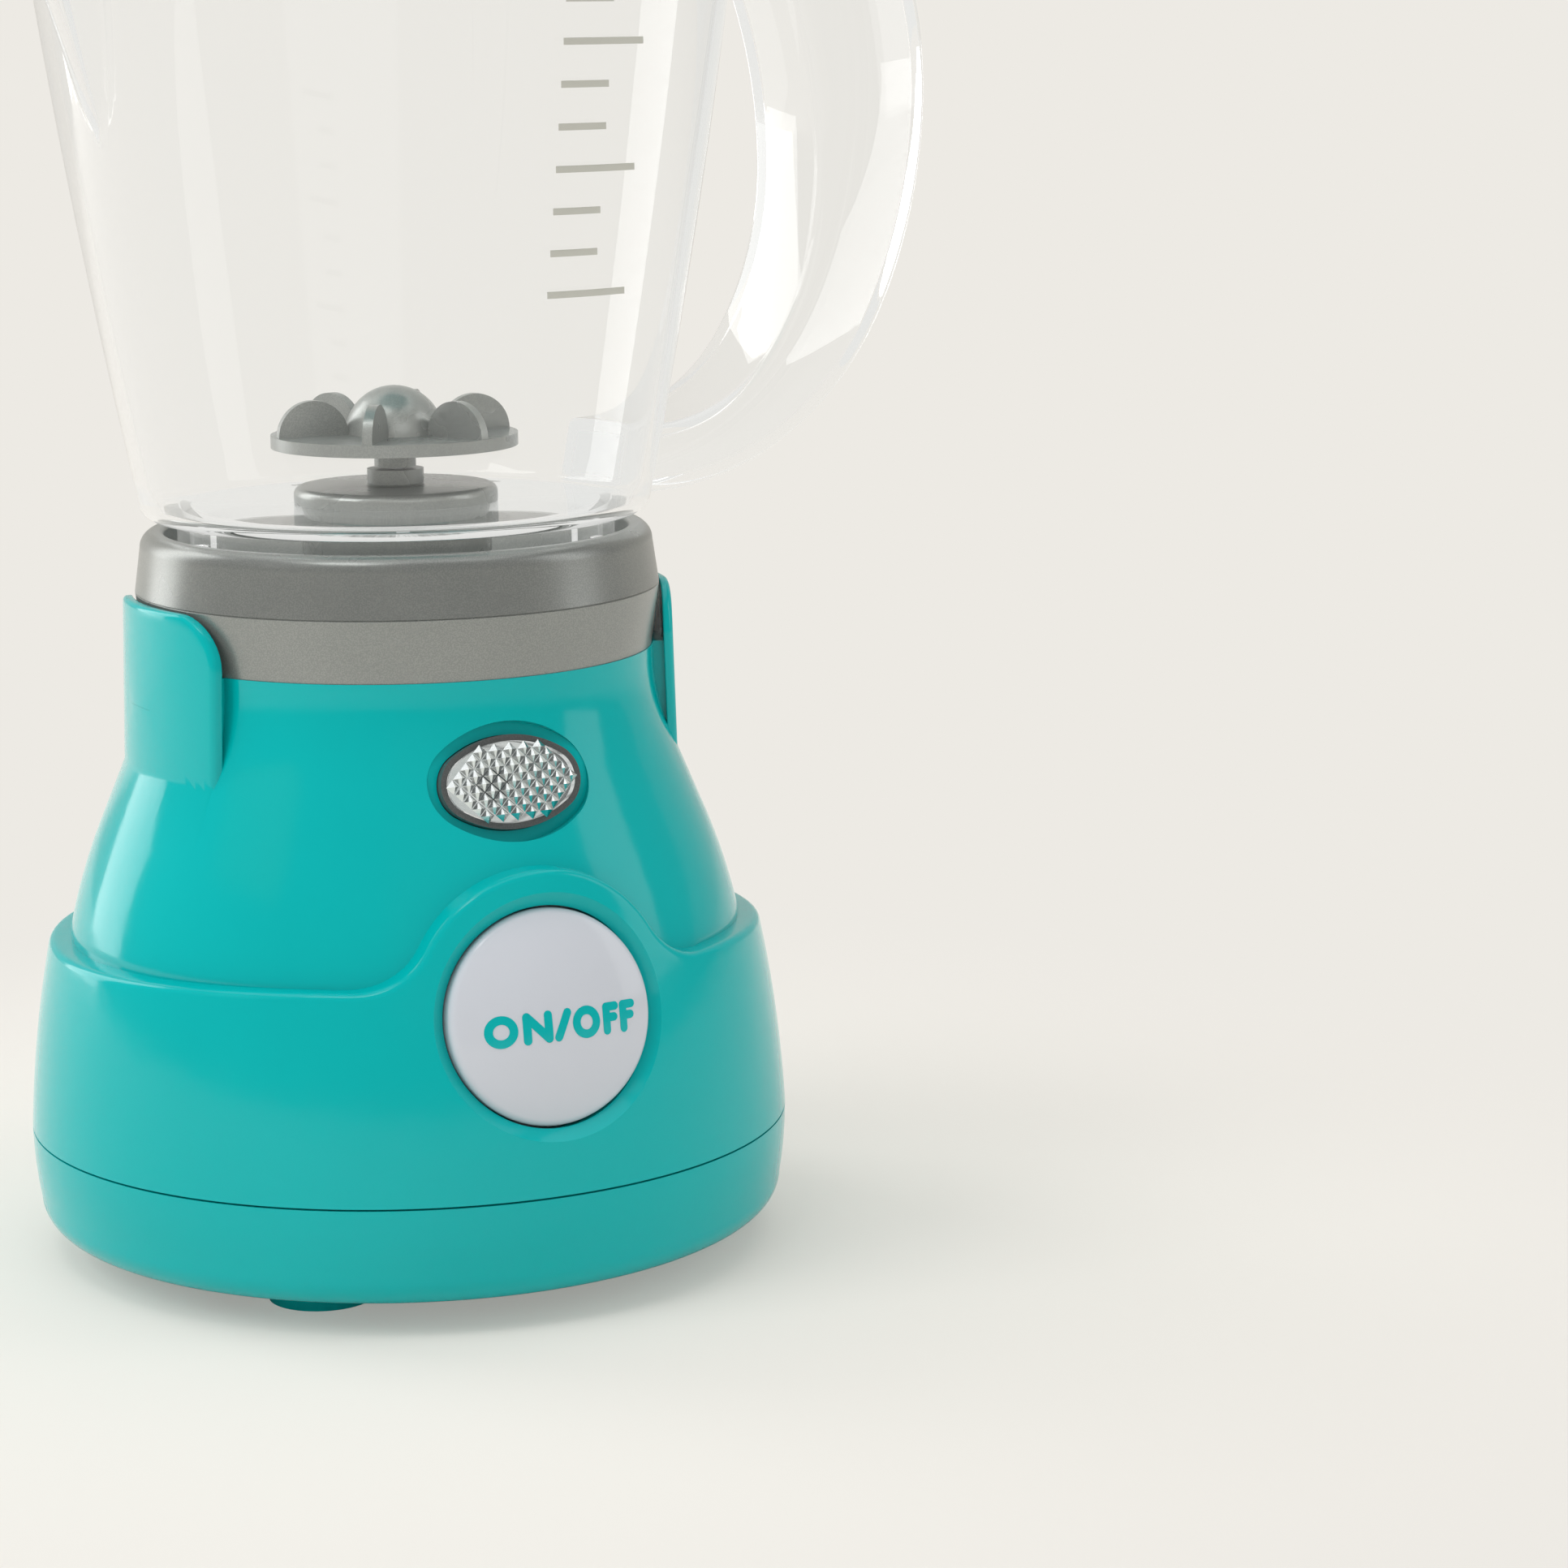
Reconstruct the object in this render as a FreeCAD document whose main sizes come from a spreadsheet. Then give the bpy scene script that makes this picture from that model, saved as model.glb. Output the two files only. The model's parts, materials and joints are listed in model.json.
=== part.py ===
import FreeCAD, Part
import math
import os
import Sketcher

# A toy blender: a battery base with a push button, a lamp and a motor, and a
# clear jug in two welded halves that carries a spinning blade and a lid.
# Millimetres, +Z up, origin on the base's axis at the standing plane.
# The button faces -Y. The jug's handle points towards +X.

SIZES = {
    # base: the cover below the seam, the skirt with its ledge, the bell
    "base_radius": 59.1,
    "wall": 2.4,
    "foot_height": 4.6,
    "foot_radius": 8.0,
    "foot_circle": 37.0,
    "cover_height": 15.4,
    "cover_corner": 4.8,
    "cover_side_bend": 62.0,
    "cover_side_draft": 0.96,
    "seam_gap": 0.3,
    "skirt_height": 49.2,
    "skirt_top_inset": 9.05,
    "skirt_bend": 190.0,
    "ledge_rise": 31.2,
    "ledge_fall": 1.4,
    "crest_radius": 20.9,
    "crest_sweep": 12.0,
    "bell_height": 73.8,
    "bell_top_inset": 19.9,
    "bell_neck": 1.8,
    "flare_drop": 14.75,
    "flare_inset": 17.06,
    "flare_bend": 31.0,
    "cone_drop": 25.8,
    "cone_inset": 12.45,
    "bell_foot_inset": 7.1,
    "bell_bulge": 94.0,
    "deck_thickness": 2.2,
    # the two ears that rise beside the collar
    "ear_half_width": 19.2,
    "ear_rise": 9.2,
    "ear_corner": 8.0,
    "ear_thickness": 1.5,
    "ear_draft": 0.8,
    "ear_drop": 21.5,
    # grey collar that takes the jug
    "collar_height": 18.7,
    "collar_foot_inset": 0.2,
    "collar_belly_swell": 1.3,
    "collar_belly_rise": 9.5,
    "collar_shoulder_swell": 0.3,
    "collar_shoulder_drop": 2.2,
    "collar_lip": 1.9,
    "collar_wall": 3.7,
    "collar_floor": 2.5,
    "collar_ledge_rise": 8.4,
    "collar_ledge_width": 5.6,
    "collar_well_radius": 16.0,
    "collar_gap": 0.35,
    # push button and what is behind it
    "button_height": 46.3,
    "button_tilt": 10.0,
    "button_radius": 16.0,
    "button_gap": 0.3,
    "button_bevel": 1.9,
    "button_crown": 0.8,
    "button_dome": 3.0,
    "button_rim_depth": 8.0,
    "button_flange": 1.4,
    "button_flange_thickness": 1.2,
    "button_wall": 1.8,
    "button_stem_radius": 3.2,
    "button_stem_length": 8.2,
    "button_travel": 2.8,
    "well_wall": 2.0,
    "stop_gap": 0.2,
    "bracket_thickness": 1.8,
    "bracket_post_radius": 3.0,
    "bracket_post_spread": 21.5,
    "bracket_half_height": 9.0,
    "spring_coil_radius": 7.5,
    "spring_wire_radius": 0.45,
    "spring_turns": 3,
    "spring_end_gap": 0.05,
    "plunger_radius": 1.8,
    "plunger_length": 5.0,
    "switch_side": 12.0,
    "switch_depth": 10.0,
    # lamp: oval recess, grey bezel, clear lens, reflector and lamp bulb
    "lens_height": 78.8,
    "lens_tilt": 14.0,
    "lens_sink": 0.75,
    "recess_half_width": 12.9,
    "recess_half_height": 9.0,
    "recess_depth": 1.5,
    "recess_end_bend": 7.0,
    "lens_half_width": 11.2,
    "lens_half_height": 7.0,
    "lens_end_bend": 5.2,
    "bezel_rim": 0.9,
    "recess_wall": 2.0,
    "lens_gap": 0.1,
    "lens_thickness": 2.2,
    "lens_crown": 1.0,
    "reflector_depth": 5.0,
    "reflector_wall": 1.2,
    "led_radius": 2.5,
    "led_length": 8.0,
    # motor and gears
    "gear_module": 0.8,
    "gear_teeth": 36,
    "pinion_teeth": 9,
    "gear_face": 5.0,
    "gear_backlash": 0.24,
    "pressure_angle": 20.0,
    "gear_top_drop": 5.8,
    "plate_drop": 13.3,
    "plate_thickness": 2.5,
    "plate_rim": 1.0,
    "post_inset": 12.2,
    "post_radius": 3.2,
    "shaft_radius": 2.0,
    "running_gap": 0.05,
    "bush_radius": 5.0,
    "bush_flange": 2.0,
    "bush_flange_thickness": 1.0,
    "motor_diameter": 20.1,
    "motor_flat": 15.1,
    "motor_length": 25.0,
    "motor_boss_radius": 3.0,
    "motor_shaft_radius": 1.0,
    "cage_wall": 1.8,
    # screws
    "screw_radius": 1.3,
    "screw_head_radius": 2.6,
    "screw_head_height": 1.8,
    "screw_gap": 0.3,
    "cover_screw_inset": 12.1,
    "cover_post_radius": 3.4,
    "collar_screw_inset": 2.5,
    # battery box with two AA cells
    "cell_radius": 7.1,
    "cell_length": 49.5,
    "cell_gap": 0.5,
    "cell_end_room": 2.2,
    "box_wall": 1.8,
    "door_lip": 1.0,
    "door_gap": 0.25,
    "door_tab_radius": 5.0,
    "door_screw_reach": 3.2,
    "contact_thickness": 0.4,
    # jug
    "jug_turn": 9.0,
    "jug_lift_gap": 1.9,
    "jug_height": 136.6,
    "jug_foot_width": 5.7,
    "jug_rim_radius": 58.5,
    "jug_side_bend": 1200.0,
    "jug_corner": 3.0,
    "jug_wall": 1.9,
    "jug_floor": 1.6,
    "neck_play": 2.0,
    "neck_gap": 0.2,
    "neck_rib_width": 2.0,
    "neck_rib_count": 6,
    "rim_bead": 1.1,
    "rim_bead_height": 2.6,
    "weld_gap": 0.05,
    "jug_hole_radius": 10.0,
    # handle: an oval loop of box section
    "handle_width": 18.5,
    "handle_wall": 2.0,
    "handle_root_gap": 3.7,
    "handle_reach": 54.6,
    "handle_low_drop": 63.0,
    "handle_low_bend": 52.0,
    "handle_centre_rise": 63.6,
    "grip_reach": 33.0,
    "grip_centre_drop": 12.5,
    "grip_low_drop": 39.8,
    "grip_low_bend": 30.0,
    "grip_high_rise": 52.0,
    "grip_high_bend": 25.0,
    # spout
    "spout_tip_rise": 57.0,
    "spout_sink": 0.4,
    "spout_tip_radius": 7.0,
    "spout_reach": 16.0,
    "spout_lip_radius": 13.0,
    "spout_wall": 1.7,
    # blade unit
    "mount_radius": 15.65,
    "mount_top": 1.2,
    "mount_low_radius": 14.6,
    "mount_low_depth": 7.0,
    "sleeve_radius": 4.35,
    "sleeve_height": 4.2,
    "blade_neck_radius": 3.2,
    "blade_neck_height": 3.2,
    "blade_radius": 18.95,
    "blade_thickness": 1.9,
    "dome_radius": 7.6,
    "dome_height": 7.3,
    "fin_radius": 5.5,
    "fin_thickness": 1.5,
    "fin_count": 6,
    "blade_turn": -5.3,
    "blade_shaft_radius": 1.5,
    # dog clutch between base and jug
    "dog_disc_radius": 9.0,
    "dog_disc_thickness": 2.5,
    "dog_length": 3.5,
    "dog_width": 3.6,
    "dog_inner_radius": 4.2,
    "dog_count": 3,
    "dog_clearance": 0.5,
    # lid
    "lid_thickness": 2.2,
    "lid_overhang": 0.6,
    "lid_skirt": 8.0,
    "lid_gap": 0.35,
    "lid_dome": 3.0,
    "knob_radius": 15.0,
    "knob_height": 11.0,
}

doc = FreeCAD.newDocument("ToyBlender")
sheet = doc.addObject("Spreadsheet::Sheet", "Sizes")
for row, (size_name, size_value) in enumerate(SIZES.items(), start=1):
    sheet.set(f"A{row}", size_name)
    sheet.set(f"B{row}", str(size_value))
    sheet.setAlias(f"B{row}", size_name)
doc.recompute()


class Size:
    """A number that remembers the spreadsheet formula it comes from."""

    def __init__(self, value, formula):
        self.value = float(value)
        self.formula = formula

    def __add__(self, other):
        other = as_size(other)
        return Size(self.value + other.value, f"({self.formula} + {other.formula})")

    def __sub__(self, other):
        other = as_size(other)
        return Size(self.value - other.value, f"({self.formula} - {other.formula})")

    def __mul__(self, other):
        other = as_size(other)
        return Size(self.value * other.value, f"({self.formula} * {other.formula})")

    def __truediv__(self, other):
        other = as_size(other)
        return Size(self.value / other.value, f"({self.formula} / {other.formula})")

    def __neg__(self):
        return Size(-self.value, f"(0 - {self.formula})")

    def __radd__(self, other):
        return as_size(other) + self

    def __rsub__(self, other):
        return as_size(other) - self

    def __rmul__(self, other):
        return as_size(other) * self

    def __rtruediv__(self, other):
        return as_size(other) / self


def as_size(number):
    """Turns a plain number into a Size."""
    if isinstance(number, Size):
        return number
    return Size(number, f"{float(number):.6f}")


def root(size):
    """Square root."""
    return Size(math.sqrt(size.value), f"sqrt({size.formula})")


def sine(degrees):
    """Sine of an angle in degrees."""
    degrees = as_size(degrees)
    return Size(math.sin(math.radians(degrees.value)), f"sin({degrees.formula})")


def cosine(degrees):
    """Cosine of an angle in degrees."""
    degrees = as_size(degrees)
    return Size(math.cos(math.radians(degrees.value)), f"cos({degrees.formula})")


class Dimensions:
    """Gives each size in the spreadsheet as an attribute."""

    def __getattr__(self, name):
        return Size(sheet.get(name), f"Sizes.{name}")


D = Dimensions()
ZERO = as_size(0.0)


class Bend:
    """An arc from one corner of an outline to the next. It turns left or right."""

    def __init__(self, radius, left):
        self.radius = as_size(radius)
        self.left = left


def bend_left(radius):
    """An arc that turns left as the outline is walked."""
    return Bend(radius, True)


def bend_right(radius):
    """An arc that turns right as the outline is walked."""
    return Bend(radius, False)


def new_body(label):
    """An empty body whose label names its file."""
    body = doc.addObject("PartDesign::Body", label)
    body.Label = label
    return body


def new_sketch(body, role, lift=None, across=None, up=None, tilt=None):
    """A sketch on one of the body's own origin planes, moved along its normal or tilted."""
    plane = next(item for item in body.Origin.OriginFeatures if item.Role == role)
    sketch = body.newObject("Sketcher::SketchObject", f"{body.Name}_outline")
    sketch.AttachmentSupport = [(plane, "")]
    sketch.MapMode = "FlatFace"
    if tilt is not None:
        turn = FreeCAD.Rotation(FreeCAD.Vector(-1, 0, 0), tilt.value)
        sketch.AttachmentOffset = FreeCAD.Placement(FreeCAD.Vector(0, 0, 0), turn)
        sketch.setExpression("AttachmentOffset.Rotation.Angle", tilt.formula)
    for axis_name, offset in (("x", across), ("y", up), ("z", lift)):
        if offset is not None:
            sketch.setExpression(f"AttachmentOffset.Base.{axis_name}", as_size(offset).formula)
    doc.recompute()
    return sketch


def arc_between(start, end, bend):
    """Circle arc between two points, always drawn anticlockwise."""
    step_x = end[0] - start[0]
    step_y = end[1] - start[1]
    chord = math.hypot(step_x, step_y)
    rise = math.sqrt(max(bend.radius.value ** 2 - chord ** 2 / 4, 0.0))
    side = 1 if bend.left else -1
    centre_x = (start[0] + end[0]) / 2 - side * rise * step_y / chord
    centre_y = (start[1] + end[1]) / 2 + side * rise * step_x / chord
    first, last = (start, end) if bend.left else (end, start)
    circle = Part.Circle(FreeCAD.Vector(centre_x, centre_y, 0), FreeCAD.Vector(0, 0, 1), bend.radius.value)
    from_angle = math.atan2(first[1] - centre_y, first[0] - centre_x)
    to_angle = math.atan2(last[1] - centre_y, last[0] - centre_x)
    return Part.ArcOfCircle(circle, from_angle, to_angle)


def constrain(sketch, kind, geometry, place, size):
    """Adds one dimension and ties it to its formula."""
    if place is None:
        index = sketch.addConstraint(Sketcher.Constraint(kind, geometry, size.value))
    else:
        index = sketch.addConstraint(Sketcher.Constraint(kind, geometry, place, size.value))
    if "Sizes." in size.formula:
        sketch.setExpression(f"Constraints[{index}]", size.formula)


def draw_outline(sketch, corners):
    """Draws a closed outline. A corner is (x, y) or (x, y, bend to the next corner)."""
    points = [(as_size(corner[0]), as_size(corner[1])) for corner in corners]
    bends = [corner[2] if len(corner) > 2 else None for corner in corners]
    count = len(points)
    ends = []
    for index in range(count):
        start = tuple(size.value for size in points[index])
        end = tuple(size.value for size in points[(index + 1) % count])
        if bends[index] is None:
            line = Part.LineSegment(FreeCAD.Vector(*start, 0), FreeCAD.Vector(*end, 0))
            geometry = sketch.addGeometry(line, False)
            ends.append((geometry, 1, 2))
        else:
            geometry = sketch.addGeometry(arc_between(start, end, bends[index]), False)
            ends.append((geometry, 1, 2) if bends[index].left else (geometry, 2, 1))
    for index in range(count):
        geometry, begin, finish = ends[index]
        following, next_begin, _ = ends[(index + 1) % count]
        sketch.addConstraint(Sketcher.Constraint("Coincident", geometry, finish, following, next_begin))
    for index in range(count):
        geometry, begin, _ = ends[index]
        constrain(sketch, "DistanceX", geometry, begin, points[index][0])
        constrain(sketch, "DistanceY", geometry, begin, points[index][1])
        if bends[index] is not None:
            constrain(sketch, "Radius", geometry, None, bends[index].radius)


def draw_circle(sketch, x, y, radius):
    """Draws one full circle."""
    x, y, radius = as_size(x), as_size(y), as_size(radius)
    circle = Part.Circle(FreeCAD.Vector(x.value, y.value, 0), FreeCAD.Vector(0, 0, 1), radius.value)
    geometry = sketch.addGeometry(circle, False)
    constrain(sketch, "DistanceX", geometry, 3, x)
    constrain(sketch, "DistanceY", geometry, 3, y)
    constrain(sketch, "Radius", geometry, None, radius)


def draw_circles_around(sketch, ring_radius, radius, angles):
    """Draws equal circles on a ring."""
    for angle in angles:
        draw_circle(sketch, ring_radius * cosine(angle), ring_radius * sine(angle), radius)


def draw_rectangle(sketch, left, low, right, high):
    """Draws an upright rectangle."""
    draw_outline(sketch, [(left, low), (right, low), (right, high), (left, high)])


def oval_corners(half_width, half_height, end_bend):
    """Four tangent arcs that make an oval wider than tall."""
    side_bend = ((half_width - end_bend) * (half_width - end_bend) + half_height * half_height
                 - end_bend * end_bend) / (2 * (half_height - end_bend))
    centre_gap = side_bend - end_bend
    meet_x = (half_width - end_bend) * side_bend / centre_gap
    meet_y = (half_height - side_bend) + (side_bend - half_height) * side_bend / centre_gap
    return [
        (meet_x, -meet_y, bend_left(end_bend)),
        (meet_x, meet_y, bend_left(side_bend)),
        (-meet_x, meet_y, bend_left(end_bend)),
        (-meet_x, -meet_y, bend_left(side_bend)),
    ]


def revolve(body, sketch, cut=False):
    """Turns the sketch once round its vertical axis, as material or as a cut."""
    kind = "PartDesign::Groove" if cut else "PartDesign::Revolution"
    feature = body.newObject(kind, f"{body.Name}_turned")
    feature.Profile = sketch
    feature.ReferenceAxis = (sketch, ["V_Axis"])
    feature.Angle = 360
    doc.recompute()
    return feature


def extrude(body, sketch, length, cut=False, back=False, both=False):
    """Pushes the sketch along its normal. A cut runs against the normal unless back is set."""
    kind = "PartDesign::Pocket" if cut else "PartDesign::Pad"
    feature = body.newObject(kind, f"{body.Name}_pushed")
    feature.Profile = sketch
    length = as_size(length)
    feature.Length = length.value
    if "Sizes." in length.formula:
        feature.setExpression("Length", length.formula)
    feature.Reversed = back
    if both:
        feature.SideType = "Symmetric"
    doc.recompute()
    return feature


def pattern_around(body, feature, count):
    """Repeats a feature round the body's Z axis."""
    axis = next(item for item in body.Origin.OriginFeatures if item.Role == "Z_Axis")
    pattern = body.newObject("PartDesign::PolarPattern", f"{body.Name}_pattern")
    pattern.Originals = [feature]
    pattern.Axis = (axis, [""])
    pattern.Angle = 360
    pattern.Occurrences = int(count.value)
    if "Sizes." in count.formula:
        pattern.setExpression("Occurrences", count.formula)
    body.Tip = pattern
    doc.recompute()
    return pattern


def turned(label, corners):
    """A body that is one outline turned round its Z axis."""
    body = new_body(label)
    sketch = new_sketch(body, "XZ_Plane")
    draw_outline(sketch, corners)
    revolve(body, sketch)
    return body


def drill(body, lift, depth, circles, back=False):
    """Cuts round holes from a level of the body. Circles are (x, y, radius)."""
    sketch = new_sketch(body, "XY_Plane", lift=lift)
    for x, y, radius in circles:
        draw_circle(sketch, x, y, radius)
    return extrude(body, sketch, depth, cut=True, back=back)


def ring_points(ring_radius, angles):
    """Points on a ring as sizes."""
    return [(ring_radius * cosine(angle), ring_radius * sine(angle)) for angle in angles]


def place(item, x=None, y=None, z=None, axis=None, angle=None):
    """Moves and turns a finished piece, tied to the sizes."""
    if axis is not None:
        angle = as_size(angle)
        turn = FreeCAD.Rotation(FreeCAD.Vector(*axis), angle.value)
        item.Placement = FreeCAD.Placement(FreeCAD.Vector(0, 0, 0), turn)
        if "Sizes." in angle.formula:
            item.setExpression("Placement.Rotation.Angle", angle.formula)
    for name, size in (("x", x), ("y", y), ("z", z)):
        if size is not None:
            item.setExpression(f"Placement.Base.{name}", as_size(size).formula)
    return item


# Levels that several pieces share.
seam = D.foot_height + D.cover_height
ledge = seam + D.ledge_rise
deck_top = seam + D.bell_height
deck_low = deck_top - D.deck_thickness
collar_top = deck_top + D.collar_height
jug_low = collar_top + D.jug_lift_gap
jug_top = jug_low + D.jug_height
floor_top = jug_low + D.jug_floor
collar_ledge = deck_top + D.collar_ledge_rise
neck_low = collar_ledge + D.neck_gap
plate_low = deck_top - D.plate_drop - D.plate_thickness
plate_top = deck_top - D.plate_drop
gear_top = deck_top - D.gear_top_drop
gear_low = gear_top - D.gear_face
skirt_low = seam + D.seam_gap
ledge_side = ledge - D.ledge_fall

# Radii that follow from the base outwards in, and from the collar to the jug.
skirt_top_radius = D.base_radius - D.skirt_top_inset
bell_foot_radius = D.base_radius - D.bell_foot_inset
cone_radius = D.base_radius - D.cone_inset
flare_radius = D.base_radius - D.flare_inset
bell_top_radius = D.base_radius - D.bell_top_inset
collar_foot_radius = bell_top_radius - D.collar_foot_inset
collar_belly_radius = collar_foot_radius + D.collar_belly_swell
collar_shoulder_radius = collar_foot_radius + D.collar_shoulder_swell
collar_mouth_radius = collar_shoulder_radius - D.collar_wall
collar_ledge_radius = collar_mouth_radius - D.collar_ledge_width
neck_radius = collar_mouth_radius - D.neck_play
jug_foot_radius = neck_radius + D.jug_foot_width
handle_root = jug_foot_radius + D.handle_root_gap
collar_screw_circle = collar_mouth_radius - D.collar_screw_inset
cover_screw_circle = D.base_radius - D.cover_screw_inset
post_circle = bell_top_radius - D.post_inset

# The bracket stands so far back that the stem meets the switch at the end of the button's travel.
bracket_depth = (D.button_dome - D.button_crown + D.button_wall + D.button_stem_length + D.button_travel
                 - D.bracket_thickness + D.stop_gap)

COVER_SCREW_ANGLES = (30, 150, 210, 330)
CORNER_ANGLES = (45, 135, 225, 315)


def side_reach(low, high, bend, level):
    """Radius at a level on an arc that bulges outwards between two points."""
    step_x = high[0] - low[0]
    step_y = high[1] - low[1]
    chord_squared = step_x * step_x + step_y * step_y
    rise = root(bend * bend - chord_squared / 4) / root(chord_squared)
    centre_x = (low[0] + high[0]) / 2 - rise * step_y
    centre_y = (low[1] + high[1]) / 2 + rise * step_x
    return centre_x + root(bend * bend - (level - centre_y) * (level - centre_y))


skirt_bottom = (D.base_radius, skirt_low)
skirt_peak = (skirt_top_radius, skirt_low + D.skirt_height)
button_reach = side_reach(skirt_bottom, skirt_peak, D.skirt_bend, D.button_height)
lens_reach = flare_radius - D.lens_sink


def button_sketch(body, depth):
    """A sketch square to the button's axis, at a depth below the button's face."""
    return new_sketch(
        body, "XZ_Plane",
        lift=button_reach - depth * cosine(D.button_tilt),
        up=D.button_height - depth * sine(D.button_tilt),
        tilt=D.button_tilt,
    )


def lens_sketch(body, depth):
    """A sketch square to the lamp's axis, at a depth below the lens plane."""
    return new_sketch(
        body, "XZ_Plane",
        lift=lens_reach - depth * cosine(D.lens_tilt),
        up=D.lens_height - depth * sine(D.lens_tilt),
        tilt=D.lens_tilt,
    )


def bell_outline(inset):
    """The bell's side from the ledge up to the deck, moved in by a wall."""
    return [
        (bell_foot_radius - inset, ledge, bend_left(D.bell_bulge - inset)),
        (cone_radius - inset, deck_top - D.cone_drop),
        (flare_radius - inset, deck_top - D.flare_drop, bend_right(D.flare_bend + inset)),
        (bell_top_radius - inset, deck_top - D.bell_neck),
    ]


def wave_corners(far, top):
    """The space above the skirt's front edge: falling to the sides, with a crest round the button."""
    reach = D.crest_radius
    sweep = D.crest_sweep
    rise = ledge - D.button_height
    centre_x = root((reach + sweep) * (reach + sweep) - (rise + sweep) * (rise + sweep))
    meet_x = centre_x * reach / (reach + sweep)
    meet_z = D.button_height + (rise + sweep) * reach / (reach + sweep)
    side_x = side_reach(skirt_bottom, skirt_peak, D.skirt_bend, ledge_side)
    run = side_x - centre_x
    fall_bend = (run * run + D.ledge_fall * D.ledge_fall) / (D.ledge_fall * 2)
    return [
        (-far, ledge_side),
        (-side_x, ledge_side, bend_right(fall_bend)),
        (-centre_x, ledge, bend_left(sweep)),
        (-meet_x, meet_z, bend_right(reach)),
        (meet_x, meet_z, bend_left(sweep)),
        (centre_x, ledge, bend_right(fall_bend)),
        (side_x, ledge_side),
        (far, ledge_side),
        (far, top),
        (-far, top),
    ]


def ear_corners(level_low, level_high):
    """The space to cut away from a full ring so that an ear is left, seen along X."""
    half = D.ear_half_width
    corner = D.ear_corner
    top = deck_top + D.ear_rise
    far = D.base_radius + D.wall
    return [
        (-far, level_low),
        (-half, level_low),
        (-half, top - corner, bend_right(corner)),
        (corner - half, top),
        (half - corner, top, bend_right(corner)),
        (half, top - corner),
        (half, level_low),
        (far, level_low),
        (far, level_high),
        (-far, level_high),
    ]


def make_housing():
    """Teal housing: skirt with its wavy ledge, bell, deck and two ears, one moulding.

    The outside is made solid and drilled. The hollow is a body of its own that leaves
    room for posts and cups, so they never show outside. The housing is the difference."""
    outside = housing_outside()
    hollow = housing_hollow()
    housing = doc.addObject("Part::Cut", "base_housing")
    housing.Label = "base_housing"
    housing.Base = outside
    housing.Tool = hollow
    doc.recompute()
    return housing


def housing_outside():
    """The housing as a solid block with every hole that is seen from outside."""
    body = new_body("housing_outside")
    far = D.base_radius + D.wall
    sketch = new_sketch(body, "XZ_Plane")
    draw_outline(sketch, [
        (0, skirt_low), (D.base_radius, skirt_low, bend_left(D.skirt_bend)), skirt_peak, (0, skirt_peak[1]),
    ])
    revolve(body, sketch)
    above = skirt_peak[1] + D.wall
    sketch = new_sketch(body, "XZ_Plane")
    draw_outline(sketch, wave_corners(far, above))
    extrude(body, sketch, far, cut=True, back=True)
    sketch = new_sketch(body, "XZ_Plane")
    draw_rectangle(sketch, -far, ledge_side, far, above)
    extrude(body, sketch, far, cut=True)

    # ears are what is left of a ring
    ear_top = deck_top + D.ear_rise
    ear_low = deck_top - D.ear_drop
    ear_inner = collar_belly_radius + D.collar_gap
    ear_outer = ear_inner + D.ear_thickness
    sketch = new_sketch(body, "XZ_Plane")
    draw_outline(sketch, [
        (bell_top_radius - D.wall, ear_low), (ear_outer + D.ear_draft, ear_low),
        (ear_outer, ear_top), (ear_inner, ear_top), (ear_inner, deck_top),
        (bell_top_radius - D.wall, deck_top),
    ])
    revolve(body, sketch)
    sketch = new_sketch(body, "YZ_Plane")
    draw_outline(sketch, ear_corners(ear_low - D.wall, ear_top + D.wall))
    extrude(body, sketch, far * 2, cut=True, both=True)

    sketch = new_sketch(body, "XZ_Plane")
    draw_outline(sketch, [(0, skirt_low), (bell_foot_radius, skirt_low)] + bell_outline(ZERO)
                 + [(bell_top_radius, deck_top), (0, deck_top)])
    revolve(body, sketch)

    # button hole with its bevelled ring
    hole = D.button_radius + D.button_gap
    sketch = button_sketch(body, bracket_depth)
    draw_circle(sketch, 0, 0, hole)
    extrude(body, sketch, far, cut=True, back=True)
    bevel_edge(body, hole)
    sketch = button_sketch(body, bracket_depth)
    draw_circle(sketch, 0, 0, hole + D.button_flange)
    extrude(body, sketch, bracket_depth - D.button_rim_depth, cut=True, back=True)

    # lamp recess with the hole behind it
    sketch = lens_sketch(body, D.recess_depth)
    draw_outline(sketch, oval_corners(D.recess_half_width, D.recess_half_height, D.recess_end_bend))
    extrude(body, sketch, far, cut=True, back=True)
    sketch = lens_sketch(body, D.recess_depth)
    draw_outline(sketch, oval_corners(D.lens_half_width + D.lens_gap, D.lens_half_height + D.lens_gap,
                                      D.lens_end_bend + D.lens_gap))
    extrude(body, sketch, D.wall * 2, cut=True)

    # shaft bush and collar screws through the deck
    collar_holes = [(x, y, D.screw_radius + D.screw_gap)
                    for x, y in ring_points(collar_screw_circle, CORNER_ANGLES)]
    drill(body, deck_top, D.deck_thickness * 2, [(0, 0, D.bush_radius)] + collar_holes)

    # pilot holes in the posts
    drill(body, plate_top, D.deck_thickness * 3,
          [(x, y, D.screw_radius) for x, y in ring_points(post_circle, CORNER_ANGLES)], back=True)
    drill(body, skirt_low, D.deck_thickness * 7,
          [(x, y, D.screw_radius) for x, y in ring_points(cover_screw_circle, COVER_SCREW_ANGLES)], back=True)
    sketch = button_sketch(body, bracket_depth)
    for side in (-1, 1):
        draw_circle(sketch, D.bracket_post_spread * side, 0, D.screw_radius)
    extrude(body, sketch, D.bracket_thickness * 2.5, cut=True, back=True)
    return body


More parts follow.
